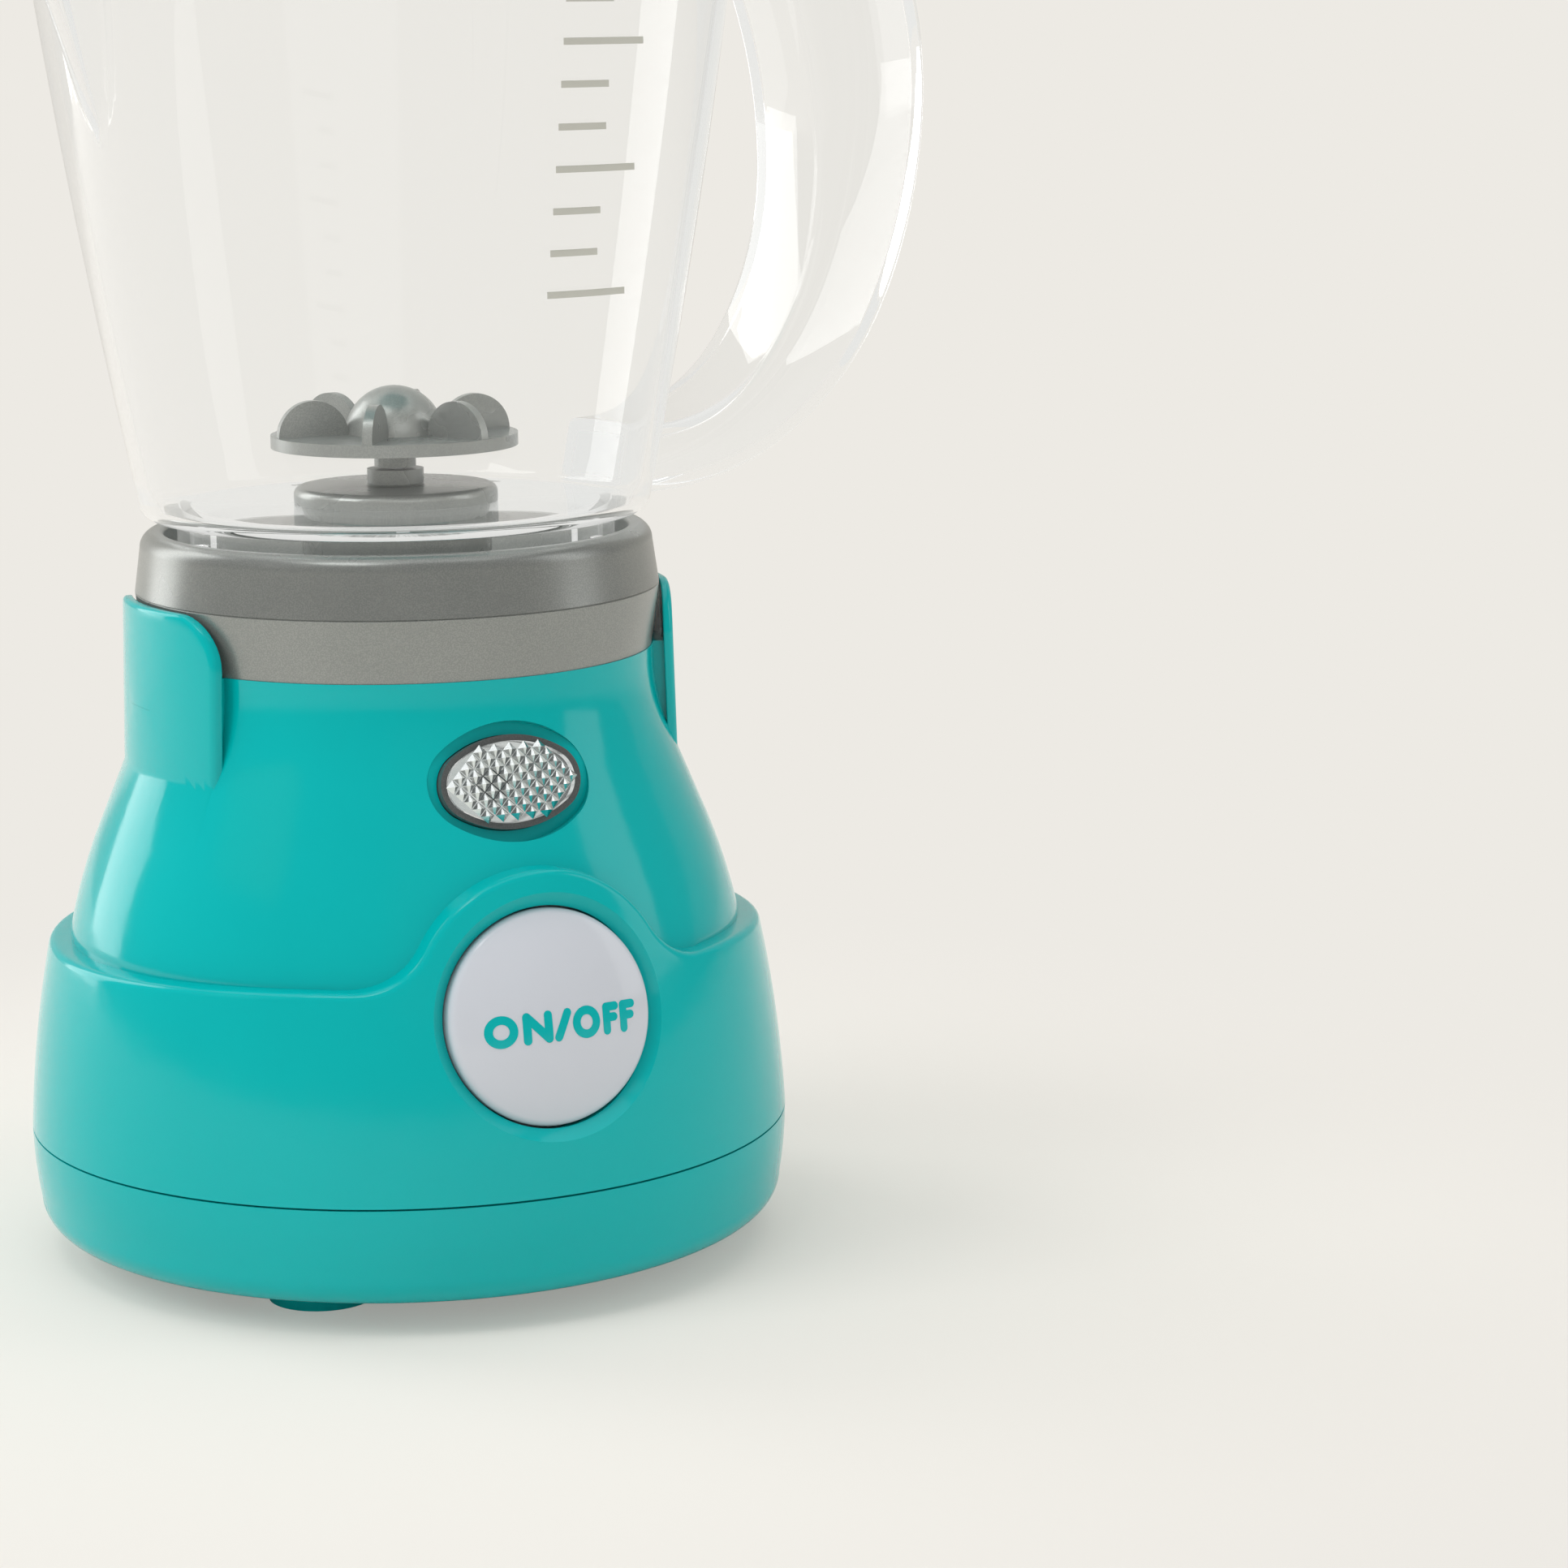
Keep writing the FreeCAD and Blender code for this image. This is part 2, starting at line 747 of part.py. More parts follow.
def bevel_edge(body, hole):
    """Bevels the button hole's outer edge, which waves with the skirt's round side."""
    origin = FreeCAD.Vector(0, -button_reach.value, D.button_height.value)
    tilt = math.radians(D.button_tilt.value)
    axis = FreeCAD.Vector(0, -math.cos(tilt), math.sin(tilt))

    def on_rim(edge):
        for vertex in edge.Vertexes:
            offset = vertex.Point - origin
            along = offset.dot(axis)
            if abs((offset - axis * along).Length - hole.value) > 0.01 or along < -D.button_rim_depth.value:
                return False
        return True

    drilled = body.Tip
    chamfer = body.newObject("PartDesign::Chamfer", "button_bevel")
    chamfer.Base = (drilled, edges_where(drilled.Shape, on_rim))
    chamfer.Size = D.button_bevel.value
    chamfer.setExpression("Size", D.button_bevel.formula)
    doc.recompute()


def housing_hollow():
    """The space inside the housing, less the room for its posts, the well and the lamp cup."""
    body = new_body("housing_hollow")
    far = D.base_radius + D.wall
    skirt_inner_top = ledge_side - D.wall
    inner_reach = side_reach(skirt_bottom, skirt_peak, D.skirt_bend, skirt_inner_top) - D.wall
    sketch = new_sketch(body, "XZ_Plane")
    draw_outline(sketch, [
        (0, seam - D.wall), (D.base_radius - D.wall, seam - D.wall),
        (D.base_radius - D.wall, skirt_low, bend_left(D.skirt_bend - D.wall)),
        (inner_reach, skirt_inner_top), (bell_foot_radius - D.wall, skirt_inner_top),
    ] + bell_outline(D.wall) + [(bell_top_radius - D.wall, deck_low), (0, deck_low)])
    revolve(body, sketch)

    # posts for the bottom cover's screws, as tall as the hollow, and for the gear plate
    sketch = new_sketch(body, "XY_Plane", lift=cover_post_low())
    draw_circles_around(sketch, cover_screw_circle, D.cover_post_radius, COVER_SCREW_ANGLES)
    extrude(body, sketch, far, cut=True, back=True)
    sketch = new_sketch(body, "XY_Plane", lift=plate_top)
    draw_circles_around(sketch, post_circle, D.post_radius, CORNER_ANGLES)
    extrude(body, sketch, far, cut=True, back=True)

    # button well and the posts of the switch bracket
    sketch = button_sketch(body, D.button_rim_depth)
    draw_circle(sketch, 0, 0, D.button_radius + D.button_gap + D.well_wall)
    extrude(body, sketch, far, cut=True, back=True)
    sketch = button_sketch(body, bracket_depth)
    for side in (-1, 1):
        draw_circle(sketch, D.bracket_post_spread * side, 0, D.bracket_post_radius)
    extrude(body, sketch, far, cut=True, back=True)

    # lamp cup
    sketch = lens_sketch(body, D.recess_depth + D.recess_wall)
    draw_outline(sketch, oval_corners(D.recess_half_width + D.recess_wall, D.recess_half_height + D.recess_wall,
                                      D.recess_end_bend + D.recess_wall))
    extrude(body, sketch, far, cut=True, back=True)
    return body


def cover_post_low():
    """Level of the feet of the housing's posts for the bottom cover's screws."""
    return seam + D.wall + D.seam_gap


def edges_where(shape, test):
    """Names of the edges that pass a test."""
    return [f"Edge{index}" for index, edge in enumerate(shape.Edges, start=1) if test(edge)]


def make_bottom_cover():
    """Teal bottom cover with four feet, a battery box and screw bosses."""
    low = D.foot_height
    side_low = low + D.cover_corner
    inner = D.base_radius - D.wall
    body = turned("bottom_cover", [
        (0, low), (D.base_radius - D.cover_side_draft - D.cover_corner, low, bend_left(D.cover_corner)),
        (D.base_radius - D.cover_side_draft, side_low, bend_left(D.cover_side_bend)),
        (D.base_radius, seam), (inner - D.seam_gap, seam), (inner - D.seam_gap, seam + D.wall * 1.6),
        (inner - D.seam_gap - D.wall * 0.75, seam + D.wall * 1.6), (inner - D.seam_gap - D.wall * 0.75, seam - D.wall),
        (inner - D.cover_side_draft - D.wall * 0.4, side_low),
        (D.base_radius - D.cover_side_draft - D.cover_corner, low + D.wall), (0, low + D.wall),
    ])
    sketch = new_sketch(body, "XY_Plane")
    draw_circles_around(sketch, D.foot_circle, D.foot_radius, CORNER_ANGLES)
    extrude(body, sketch, D.foot_height + D.wall / 2)

    # battery box walls and the boss of the door's screw rise inside, then the box is opened
    half_x, half_y, roof = box_inside()
    sketch = new_sketch(body, "XY_Plane", lift=low + D.wall / 2)
    draw_rectangle(sketch, -half_x - D.box_wall, -half_y - D.box_wall, half_x + D.box_wall, half_y + D.box_wall)
    extrude(body, sketch, roof + D.box_wall - low - D.wall / 2)
    sketch = new_sketch(body, "XY_Plane", lift=low + D.wall / 2)
    draw_circle(sketch, door_screw_x(), 0, D.door_tab_radius + D.box_wall)
    extrude(body, sketch, D.wall * 4)
    sketch = new_sketch(body, "XY_Plane", lift=roof)
    draw_rectangle(sketch, -half_x, -half_y, half_x, half_y)
    extrude(body, sketch, D.base_radius, cut=True)
    sketch = new_sketch(body, "XY_Plane", lift=low + D.wall / 2)
    draw_outline(sketch, door_corners(ZERO))
    extrude(body, sketch, D.wall, cut=True)
    drill(body, low, D.wall * 3, [(door_screw_x(), 0, D.screw_radius)], back=True)

    # screw bosses
    boss_top = seam + D.wall
    points = ring_points(cover_screw_circle, COVER_SCREW_ANGLES)
    sketch = new_sketch(body, "XY_Plane", lift=low + D.wall / 2)
    draw_circles_around(sketch, cover_screw_circle, D.cover_post_radius + D.screw_gap, COVER_SCREW_ANGLES)
    extrude(body, sketch, boss_top - low - D.wall / 2)
    drill(body, boss_top, boss_top, [(x, y, D.screw_radius + D.screw_gap) for x, y in points])
    drill(body, cover_head_level(), D.foot_height * 2 + D.wall,
          [(x, y, D.screw_head_radius + D.screw_gap) for x, y in points])
    return body


def box_inside():
    """Half length, half width and roof level of the battery box."""
    half_x = D.cell_length / 2 + D.cell_end_room
    half_y = (D.cell_radius + D.cell_gap) * 2
    roof = D.foot_height + D.wall + D.cell_gap * 2 + D.cell_radius * 2 + D.cell_gap
    return half_x, half_y, roof


def cover_head_level():
    """Level of the seat under the cover screws' heads."""
    return D.foot_height + D.wall * 2


def door_corners(inset):
    """Outline of the battery door: a rectangle with a round screw tab at one end."""
    half_x, half_y, _ = box_inside()
    edge_x = half_x + D.door_lip - inset
    edge_y = half_y + D.door_lip - inset
    tab = D.door_tab_radius - inset
    tab_x = door_screw_x()
    return [
        (-edge_x, -edge_y), (edge_x, -edge_y), (edge_x, -tab), (tab_x, -tab, bend_left(tab)),
        (tab_x + tab, 0, bend_left(tab)), (tab_x, tab), (edge_x, tab), (edge_x, edge_y), (-edge_x, edge_y),
    ]


def door_screw_x():
    """Place of the battery door's screw."""
    half_x, _, _ = box_inside()
    return half_x + D.door_lip + D.door_screw_reach


def make_battery_door():
    """Door that closes the battery box from below. A screw goes through its tab."""
    half_x, half_y, _ = box_inside()
    body = new_body("battery_door")
    low = D.foot_height
    plate = D.wall / 2
    sketch = new_sketch(body, "XY_Plane", lift=low)
    draw_outline(sketch, door_corners(D.door_gap))
    extrude(body, sketch, plate)
    sketch = new_sketch(body, "XY_Plane", lift=low + plate / 2)
    draw_rectangle(sketch, D.door_gap - half_x, D.door_gap - half_y, half_x - D.door_gap, half_y - D.door_gap)
    extrude(body, sketch, plate * 1.5)
    drill(body, low + plate, D.wall, [(door_screw_x(), 0, D.screw_radius + D.screw_gap)])
    return body


def make_cells():
    """Two AA cells that lie side by side, one turned end for end."""
    nub_radius = D.cell_radius * 0.38
    nub_length = as_size(1.0)
    cells = []
    for number, side in ((1, -1), (2, 1)):
        half = D.cell_length / 2
        cell = turned(f"battery_cell_{number}", [
            (0, -half), (D.cell_radius, -half), (D.cell_radius, half - nub_length),
            (nub_radius, half - nub_length), (nub_radius, half), (0, half),
        ])
        place(cell, y=(D.cell_radius + D.cell_gap) * side,
              z=D.foot_height + D.wall + D.cell_gap * 2 + D.cell_radius,
              axis=(0, 1, 0), angle=90 * side)
        cells.append(cell)
    return cells


def make_contacts():
    """Thin metal plates at both ends of the battery box."""
    half_x, half_y, roof = box_inside()
    low = D.foot_height + D.wall + D.cell_gap
    bridge = new_body("contact_bridge")
    sketch = new_sketch(bridge, "YZ_Plane", lift=-half_x)
    draw_rectangle(sketch, D.cell_gap - half_y, low, half_y - D.cell_gap, roof - D.cell_gap)
    extrude(bridge, sketch, D.contact_thickness)
    pair = new_body("contact_plates")
    sketch = new_sketch(pair, "YZ_Plane", lift=half_x - D.contact_thickness)
    draw_rectangle(sketch, D.cell_gap - half_y, low, -D.cell_gap, roof - D.cell_gap)
    draw_rectangle(sketch, D.cell_gap, low, half_y - D.cell_gap, roof - D.cell_gap)
    extrude(pair, sketch, D.contact_thickness)
    return [bridge, pair]


def screw_group(label, points, head_level, head_down, length):
    """Equal screws as separate solids in one piece. Heads face down or up."""
    radius, head_radius, head_height = D.screw_radius, D.screw_head_radius, D.screw_head_height
    way = 1 if head_down else -1
    solids = []
    for x, y in points:
        base = FreeCAD.Vector(as_size(x).value, as_size(y).value, head_level.value)
        axis = FreeCAD.Vector(0, 0, way)
        shank = Part.makeCylinder(radius.value, length.value, base, axis)
        head = Part.makeCylinder(head_radius.value, head_height.value, base, axis.negative())
        slot_width = head_radius.value * 0.3
        slot_length = head_radius.value * 1.2
        slot_depth = head_height.value * 0.6
        for across, along in ((slot_width, slot_length), (slot_length, slot_width)):
            corner = FreeCAD.Vector(base.x - across / 2, base.y - along / 2, 0)
            face_level = base.z - way * head_height.value
            corner.z = face_level if head_down else face_level - slot_depth
            head = head.cut(Part.makeBox(across, along, slot_depth, corner))
        solids.append(shank.fuse(head).removeSplitter())
    item = doc.addObject("Part::Feature", label)
    item.Label = label
    item.Shape = Part.Compound(solids)
    return item


def make_collar():
    """Grey barrel collar: mouth for the jug's neck, ledge that the neck stands on, open well."""
    mouth = collar_mouth_radius
    body = turned("collar", [
        (D.collar_well_radius, deck_top), (collar_foot_radius, deck_top),
        (collar_belly_radius, deck_top + D.collar_belly_rise),
        (collar_shoulder_radius, collar_top - D.collar_shoulder_drop, bend_left(D.collar_shoulder_drop * 1.05)),
        (mouth + D.collar_lip, collar_top), (mouth + D.collar_lip / 3, collar_top),
        (mouth, collar_top - D.collar_lip / 3), (mouth, collar_ledge), (collar_ledge_radius, collar_ledge),
        (collar_ledge_radius, deck_top + D.collar_floor), (D.collar_well_radius, deck_top + D.collar_floor),
    ])
    drill(body, deck_top, D.collar_ledge_rise * 0.7,
          [(x, y, D.screw_radius) for x, y in ring_points(collar_screw_circle, CORNER_ANGLES)], back=True)
    return body


def button_place(item):
    """Puts a piece that is modelled along Z onto the button's axis."""
    return place(item, y=-button_reach, z=D.button_height, axis=(1, 0, 0), angle=90 - D.button_tilt)


def coil_spring(label, coil, wire, turns, low, high):
    """A wire coil round Z between two levels, swept along half turns that each climb a little."""
    climb = high - low - wire * 2

    def point(turn):
        angle = 2 * math.pi * turn
        level = low + wire + climb * turn / turns
        return FreeCAD.Vector(coil * math.cos(angle), coil * math.sin(angle), level)

    arcs = []
    for half in range(int(turns * 2)):
        arc = Part.Arc(point(half / 2), point(half / 2 + 0.25), point(half / 2 + 0.5))
        arcs.append(arc.toShape())
    section = Part.Wire(Part.makeCircle(wire, point(0), FreeCAD.Vector(0, 1, 0)))
    item = doc.addObject("Part::Feature", label)
    item.Label = label
    item.Shape = Part.Wire(arcs).makePipeShell([section], True, False)
    return item


def make_button():
    """White button cap, its plunger and return spring, with the switch and bracket behind."""
    edge = D.button_crown - D.button_dome
    rim_low = -D.button_rim_depth - D.button_gap
    flange_low = rim_low - D.button_flange_thickness
    roof = edge - D.button_wall
    stem_low = roof - D.button_stem_length
    sphere = (D.button_radius * D.button_radius + D.button_dome * D.button_dome) / (2 * D.button_dome)
    cap = turned("button_cap", [
        (0, stem_low), (D.button_stem_radius, stem_low), (D.button_stem_radius, roof),
        (D.button_radius - D.button_wall, roof), (D.button_radius - D.button_wall, flange_low),
        (D.button_radius + D.button_flange, flange_low), (D.button_radius + D.button_flange, rim_low),
        (D.button_radius, rim_low), (D.button_radius, edge, bend_left(sphere)), (0, D.button_crown),
    ])
    button_place(cap)
    plunger_top = stem_low
    plunger = turned("switch_plunger", [
        (0, plunger_top - D.plunger_length), (D.plunger_radius, plunger_top - D.plunger_length),
        (D.plunger_radius, plunger_top), (0, plunger_top),
    ])
    button_place(plunger)

    spring_low = -bracket_depth
    spring = coil_spring("button_spring", D.spring_coil_radius.value, D.spring_wire_radius.value,
                         D.spring_turns.value, spring_low.value + D.spring_end_gap.value,
                         roof.value - D.spring_end_gap.value)
    button_place(spring)

    bracket = new_body("switch_bracket")
    sketch = new_sketch(bracket, "XY_Plane", lift=spring_low - D.bracket_thickness)
    half_x = D.bracket_post_spread + D.bracket_post_radius + D.wall / 2
    draw_rectangle(sketch, -half_x, -D.bracket_half_height, half_x, D.bracket_half_height)
    draw_circle(sketch, 0, 0, D.button_stem_radius + D.button_gap)
    for side in (-1, 1):
        draw_circle(sketch, D.bracket_post_spread * side, 0, D.screw_radius + D.screw_gap)
    extrude(bracket, sketch, D.bracket_thickness)
    button_place(bracket)

    switch_top = spring_low - D.bracket_thickness
    half = D.switch_side / 2
    switch = new_body("push_switch")
    sketch = new_sketch(switch, "XY_Plane", lift=switch_top - D.switch_depth)
    draw_rectangle(sketch, -half, -half, half, half)
    extrude(switch, sketch, D.switch_depth)
    sketch = new_sketch(switch, "XY_Plane", lift=switch_top)
    draw_circle(sketch, 0, 0, D.plunger_radius + D.button_gap)
    extrude(switch, sketch, D.switch_depth * 0.8, cut=True)
    button_place(switch)
    return [cap, plunger, spring, bracket, switch]


def lens_place(item):
    """Puts a piece that is modelled along Z onto the lamp's axis."""
    return place(item, y=-lens_reach, z=D.lens_height, axis=(1, 0, 0), angle=90 - D.lens_tilt)


def oval_pad(body, low, height, inset, cut=False):
    """An oval plate or hole of the lens's outline, smaller all round by an inset."""
    sketch = new_sketch(body, "XY_Plane", lift=low)
    draw_outline(sketch, oval_corners(D.lens_half_width - inset, D.lens_half_height - inset,
                                      D.lens_end_bend - inset))
    return extrude(body, sketch, height, cut=cut, back=cut)


def make_lamp():
    """Grey bezel, clear domed lens, white reflector and the lamp itself."""
    cup_back = -D.recess_depth - D.wall
    bezel_top = ZERO
    flange = D.reflector_wall
    bezel = new_body("lens_bezel")
    oval_pad(bezel, cup_back - flange - D.lens_gap, flange, -flange)
    oval_pad(bezel, cup_back - D.lens_gap, bezel_top - cup_back + D.lens_gap, ZERO)
    oval_pad(bezel, cup_back - flange * 2, D.base_radius, D.bezel_rim, cut=True)
    lens_place(bezel)

    lens = new_body("lens")
    lens_low = bezel_top - D.lens_thickness
    oval_pad(lens, lens_low, D.lens_thickness + D.lens_crown, D.bezel_rim + D.lens_gap)
    half = D.lens_half_width
    sphere = (half * half + D.lens_crown * D.lens_crown) / (2 * D.lens_crown)
    sketch = new_sketch(lens, "XZ_Plane")
    draw_outline(sketch, [
        (half, bezel_top), (half, bezel_top + D.lens_crown * 2), (0, bezel_top + D.lens_crown * 2),
        (0, bezel_top + D.lens_crown, bend_right(sphere)),
    ])
    revolve(lens, sketch, cut=True)
    lens_place(lens)

    reflector_top = cup_back - flange - D.lens_gap
    reflector_low = reflector_top - D.reflector_depth
    reflector = new_body("reflector")
    oval_pad(reflector, reflector_low, D.reflector_depth, -flange)
    oval_pad(reflector, reflector_low + D.reflector_wall, D.base_radius, D.bezel_rim, cut=True)
    sketch = new_sketch(reflector, "XY_Plane", lift=reflector_low + D.reflector_wall * 2)
    draw_circle(sketch, 0, 0, D.led_radius)
    extrude(reflector, sketch, D.reflector_wall * 3, cut=True)
    lens_place(reflector)

    led_low = reflector_low - D.led_length / 3
    led_round = D.led_radius
    led = turned("led", [
        (0, led_low), (D.led_radius, led_low), (D.led_radius, led_low + D.led_length - led_round, bend_left(led_round)),
        (0, led_low + D.led_length),
    ])
    lens_place(led)
    return [bezel, lens, reflector, led]


def make_gear_plate():
    """Plate under the deck that carries the motor and the shaft's lower bearing."""
    body = new_body("gear_plate")
    sketch = new_sketch(body, "XY_Plane", lift=plate_low)
    plate_reach = post_circle + D.post_radius + D.plate_rim
    draw_circle(sketch, 0, 0, plate_reach)
    extrude(body, sketch, D.plate_thickness)
    # a flat at the front leaves room for the lamp
    lamp_depth = (D.recess_depth + D.wall + D.reflector_wall + D.lens_gap + D.reflector_depth
                  + D.led_length / 3)
    lamp_end = (lens_reach - lamp_depth * cosine(D.lens_tilt) - D.led_radius * sine(D.lens_tilt)
                - D.screw_gap * 2)
    sketch = new_sketch(body, "XY_Plane", lift=plate_low)
    draw_rectangle(sketch, -plate_reach * 2, -plate_reach * 2, plate_reach * 2, -lamp_end)
    extrude(body, sketch, D.plate_thickness, cut=True, back=True)
    hub_drop = D.plate_thickness
    sketch = new_sketch(body, "XY_Plane", lift=plate_low - hub_drop)
    draw_circle(sketch, 0, 0, D.shaft_radius + D.wall)
    extrude(body, sketch, hub_drop + D.plate_thickness / 2)
    holes = [(0, 0, D.shaft_radius + D.running_gap),
             (0, gear_distance(), D.motor_boss_radius + D.screw_gap)]
    holes += [(x, y, D.screw_radius + D.screw_gap) for x, y in ring_points(post_circle, CORNER_ANGLES)]
    drill(body, plate_top, D.plate_thickness * 3, holes)
    return body


def gear_distance():
    """Distance between the shaft of the big gear and the motor's shaft."""
    return D.gear_module * (D.gear_teeth + D.pinion_teeth) / 2


def gear_body(label, teeth, low, high, hub):
    """A spur gear with straight-sided teeth. Its first gap faces +Y."""
    pitch_radius = D.gear_module * teeth / 2
    tip = pitch_radius + D.gear_module * 0.85
    foot = pitch_radius - D.gear_module * 1.25
    body = turned(label, [(hub, low), (tip, low), (tip, high), (hub, high)])
    half = D.gear_module * math.pi / 4 + D.gear_backlash / 2
    lean = D.pressure_angle + 90 / teeth
    slope = sine(lean) / cosine(lean)
    beyond = tip + D.gear_module / 2
    foot_half = half - (pitch_radius - foot) * slope
    top_half = half + (beyond - pitch_radius) * slope
    sketch = new_sketch(body, "XY_Plane", lift=high)
    draw_outline(sketch, [(-foot_half, foot), (foot_half, foot), (top_half, beyond), (-top_half, beyond)])
    gap = extrude(body, sketch, (high - low) * 2, cut=True)
    pattern_around(body, gap, teeth)
    return body


def make_drive():
    """Bush, drive shaft, big gear and the lower half of the dog clutch."""
    bush_low = deck_low - D.bush_flange_thickness
    bush_top = deck_top + D.bush_flange_thickness
    bore = D.shaft_radius + D.running_gap
    bush = turned("shaft_bush", [
        (bore, bush_low), (D.bush_radius, bush_low), (D.bush_radius, deck_top),
        (D.bush_radius + D.bush_flange, deck_top), (D.bush_radius + D.bush_flange, bush_top), (bore, bush_top),
    ])
    gear = gear_body("drive_gear", D.gear_teeth, gear_low, gear_top, D.shaft_radius)
    hub_high = bush_low - D.seam_gap
    sketch = new_sketch(gear, "XZ_Plane")
    draw_outline(sketch, [
        (D.shaft_radius, plate_top + D.seam_gap), (D.shaft_radius + D.wall, plate_top + D.seam_gap),
        (D.shaft_radius + D.wall, hub_high), (D.shaft_radius, hub_high),
    ])
    revolve(gear, sketch)
    disc_low = bush_top + D.dog_disc_thickness / 2
    disc_top = disc_low + D.dog_disc_thickness
    shaft_low = plate_low - D.plate_thickness
    shaft = turned("drive_shaft", [
        (0, shaft_low), (D.shaft_radius, shaft_low), (D.shaft_radius, disc_top), (0, disc_top),
    ])
    clutch = turned("drive_coupling", [
        (D.shaft_radius, disc_low), (D.dog_disc_radius, disc_low), (D.dog_disc_radius, disc_top),
        (D.shaft_radius, disc_top),
    ])
    add_dogs(clutch, disc_top, D.dog_length, 0)
    return [bush, gear, shaft, clutch], disc_top


def add_dogs(body, level, length, turn, down=False):
    """Driving dogs: blocks that stand on one face of a clutch disc."""
    half = D.dog_width / 2
    sketch = new_sketch(body, "XY_Plane", lift=level)
    if turn == 0:
        draw_rectangle(sketch, D.dog_inner_radius, -half, D.dog_disc_radius * 0.94, half)
    else:
        draw_rectangle(sketch, -D.dog_disc_radius * 0.94, -half, -D.dog_inner_radius, half)
    dog = extrude(body, sketch, length, back=down)
    pattern_around(body, dog, D.dog_count)


def make_motor():
    """Motor can, its shaft and pinion, and the cage that holds it under the plate."""
    distance = gear_distance()
    flat = D.motor_flat / 2
    radius = D.motor_diameter / 2
    meet = root(radius * radius - flat * flat)
    top = plate_low
    low = top - D.motor_length
    motor = new_body("motor")
    sketch = new_sketch(motor, "XY_Plane", lift=low)
    draw_outline(sketch, [
        (meet, distance - flat, bend_left(radius)), (meet, distance + flat),
        (-meet, distance + flat, bend_left(radius)), (-meet, distance - flat),
    ])
    extrude(motor, sketch, D.motor_length)
    sketch = new_sketch(motor, "XY_Plane", lift=top - D.wall)
    draw_circle(sketch, 0, distance, D.motor_boss_radius)
    extrude(motor, sketch, D.wall + D.plate_thickness * 0.6)
    drill(motor, top + D.plate_thickness, D.motor_length * 0.8,
          [(0, distance, D.motor_shaft_radius + D.running_gap)])

    shaft = turned("motor_shaft", [
        (0, top - D.motor_length * 0.6), (D.motor_shaft_radius, top - D.motor_length * 0.6),
        (D.motor_shaft_radius, gear_top), (0, gear_top),
    ])
    place(shaft, y=distance)
    pinion = gear_body("motor_pinion", D.pinion_teeth, gear_low - D.seam_gap, gear_top - D.seam_gap,
                       D.motor_shaft_radius)
    # a tooth of the pinion points at the big gear, which has a gap there
    place(pinion, y=distance)

    cage = new_body("motor_cage")
    wall = D.cage_wall
    inner_x = radius + D.screw_gap
    inner_y = flat
    sketch = new_sketch(cage, "XZ_Plane", lift=inner_y - distance)
    draw_outline(sketch, [
        (-inner_x - wall, top), (-inner_x - wall, low - D.screw_gap - wall),
        (inner_x + wall, low - D.screw_gap - wall), (inner_x + wall, top), (inner_x, top),
        (inner_x, low - D.screw_gap), (-inner_x, low - D.screw_gap), (-inner_x, top),
    ])
    extrude(cage, sketch, inner_y * 2, back=True)
    return [motor, shaft, pinion, cage]


def jug_side(inset):
    """The jug's side from its foot corner to the rim, moved in by a wall."""
    return [
        (jug_foot_radius - inset, jug_low + D.jug_corner, bend_left(D.jug_side_bend - inset)),
        (D.jug_rim_radius - inset, jug_top),
    ]


def loop_side(centre_z, reach, low_drop, low_bend, high_rise, high_bend, inset):
    """Right half of an oval loop, from its lowest to its highest point, moved in by an inset."""
    root_x = handle_root
    across = reach - inset
    corners = []
    for drop, end_bend, way in ((low_drop - inset, low_bend - inset, -1), (high_rise - inset, high_bend - inset, 1)):
        side_bend = ((drop - end_bend) * (drop - end_bend) + across * across
                     - end_bend * end_bend) / (2 * (across - end_bend))
        share = side_bend / (side_bend - end_bend)
        meet_x = (across - side_bend) + (side_bend - across) * share
        meet_z = (drop - end_bend) * share
        corners.append((way, drop, end_bend, side_bend, meet_x, meet_z))
    _, drop, end_bend, side_bend, meet_x, meet_z = corners[0]
    path = [
        (root_x, centre_z - drop, bend_left(end_bend)),
        (root_x + meet_x, centre_z - meet_z, bend_left(side_bend)),
    ]
    _, drop, end_bend, side_bend, meet_x, meet_z = corners[1]
    path += [
        (root_x + across, centre_z, bend_left(side_bend)),
        (root_x + meet_x, centre_z + meet_z, bend_left(end_bend)),
        (root_x, centre_z + drop),
    ]
    return path


def handle_loops(inset):
    """Outer and inner edges of the handle, each moved into the plastic by an inset."""
    centre = jug_low + D.handle_centre_rise
    outer = loop_side(centre, D.handle_reach, D.handle_low_drop, D.handle_low_bend,
                      D.handle_reach + 1.4, D.handle_reach - 2.0, inset)
    inner = loop_side(centre - D.grip_centre_drop, D.grip_reach, D.grip_low_drop, D.grip_low_bend,
                      D.grip_high_rise, D.grip_high_bend, -inset)
    return outer, inner


def reversed_path(path):
    """The same run of corners walked the other way, so each bend turns the other way."""
    corners = []
    for index in range(len(path) - 1, -1, -1):
        bend = path[index - 1][2] if index > 0 and len(path[index - 1]) > 2 else None
        x, z = path[index][0], path[index][1]
        corners.append((x, z) if bend is None else (x, z, Bend(bend.radius, not bend.left)))
    return corners


def handle_outline(inset):
    """Closed outline of the handle's side, running into the jug at both ends."""
    outer, inner = handle_loops(inset)
    inside = jug_foot_radius - D.jug_corner * 3
    return ([(inside, outer[0][1])] + outer + [(inside, outer[-1][1]), (inside, inner[-1][1])]
            + reversed_path(inner) + [(inside, inner[0][1])])


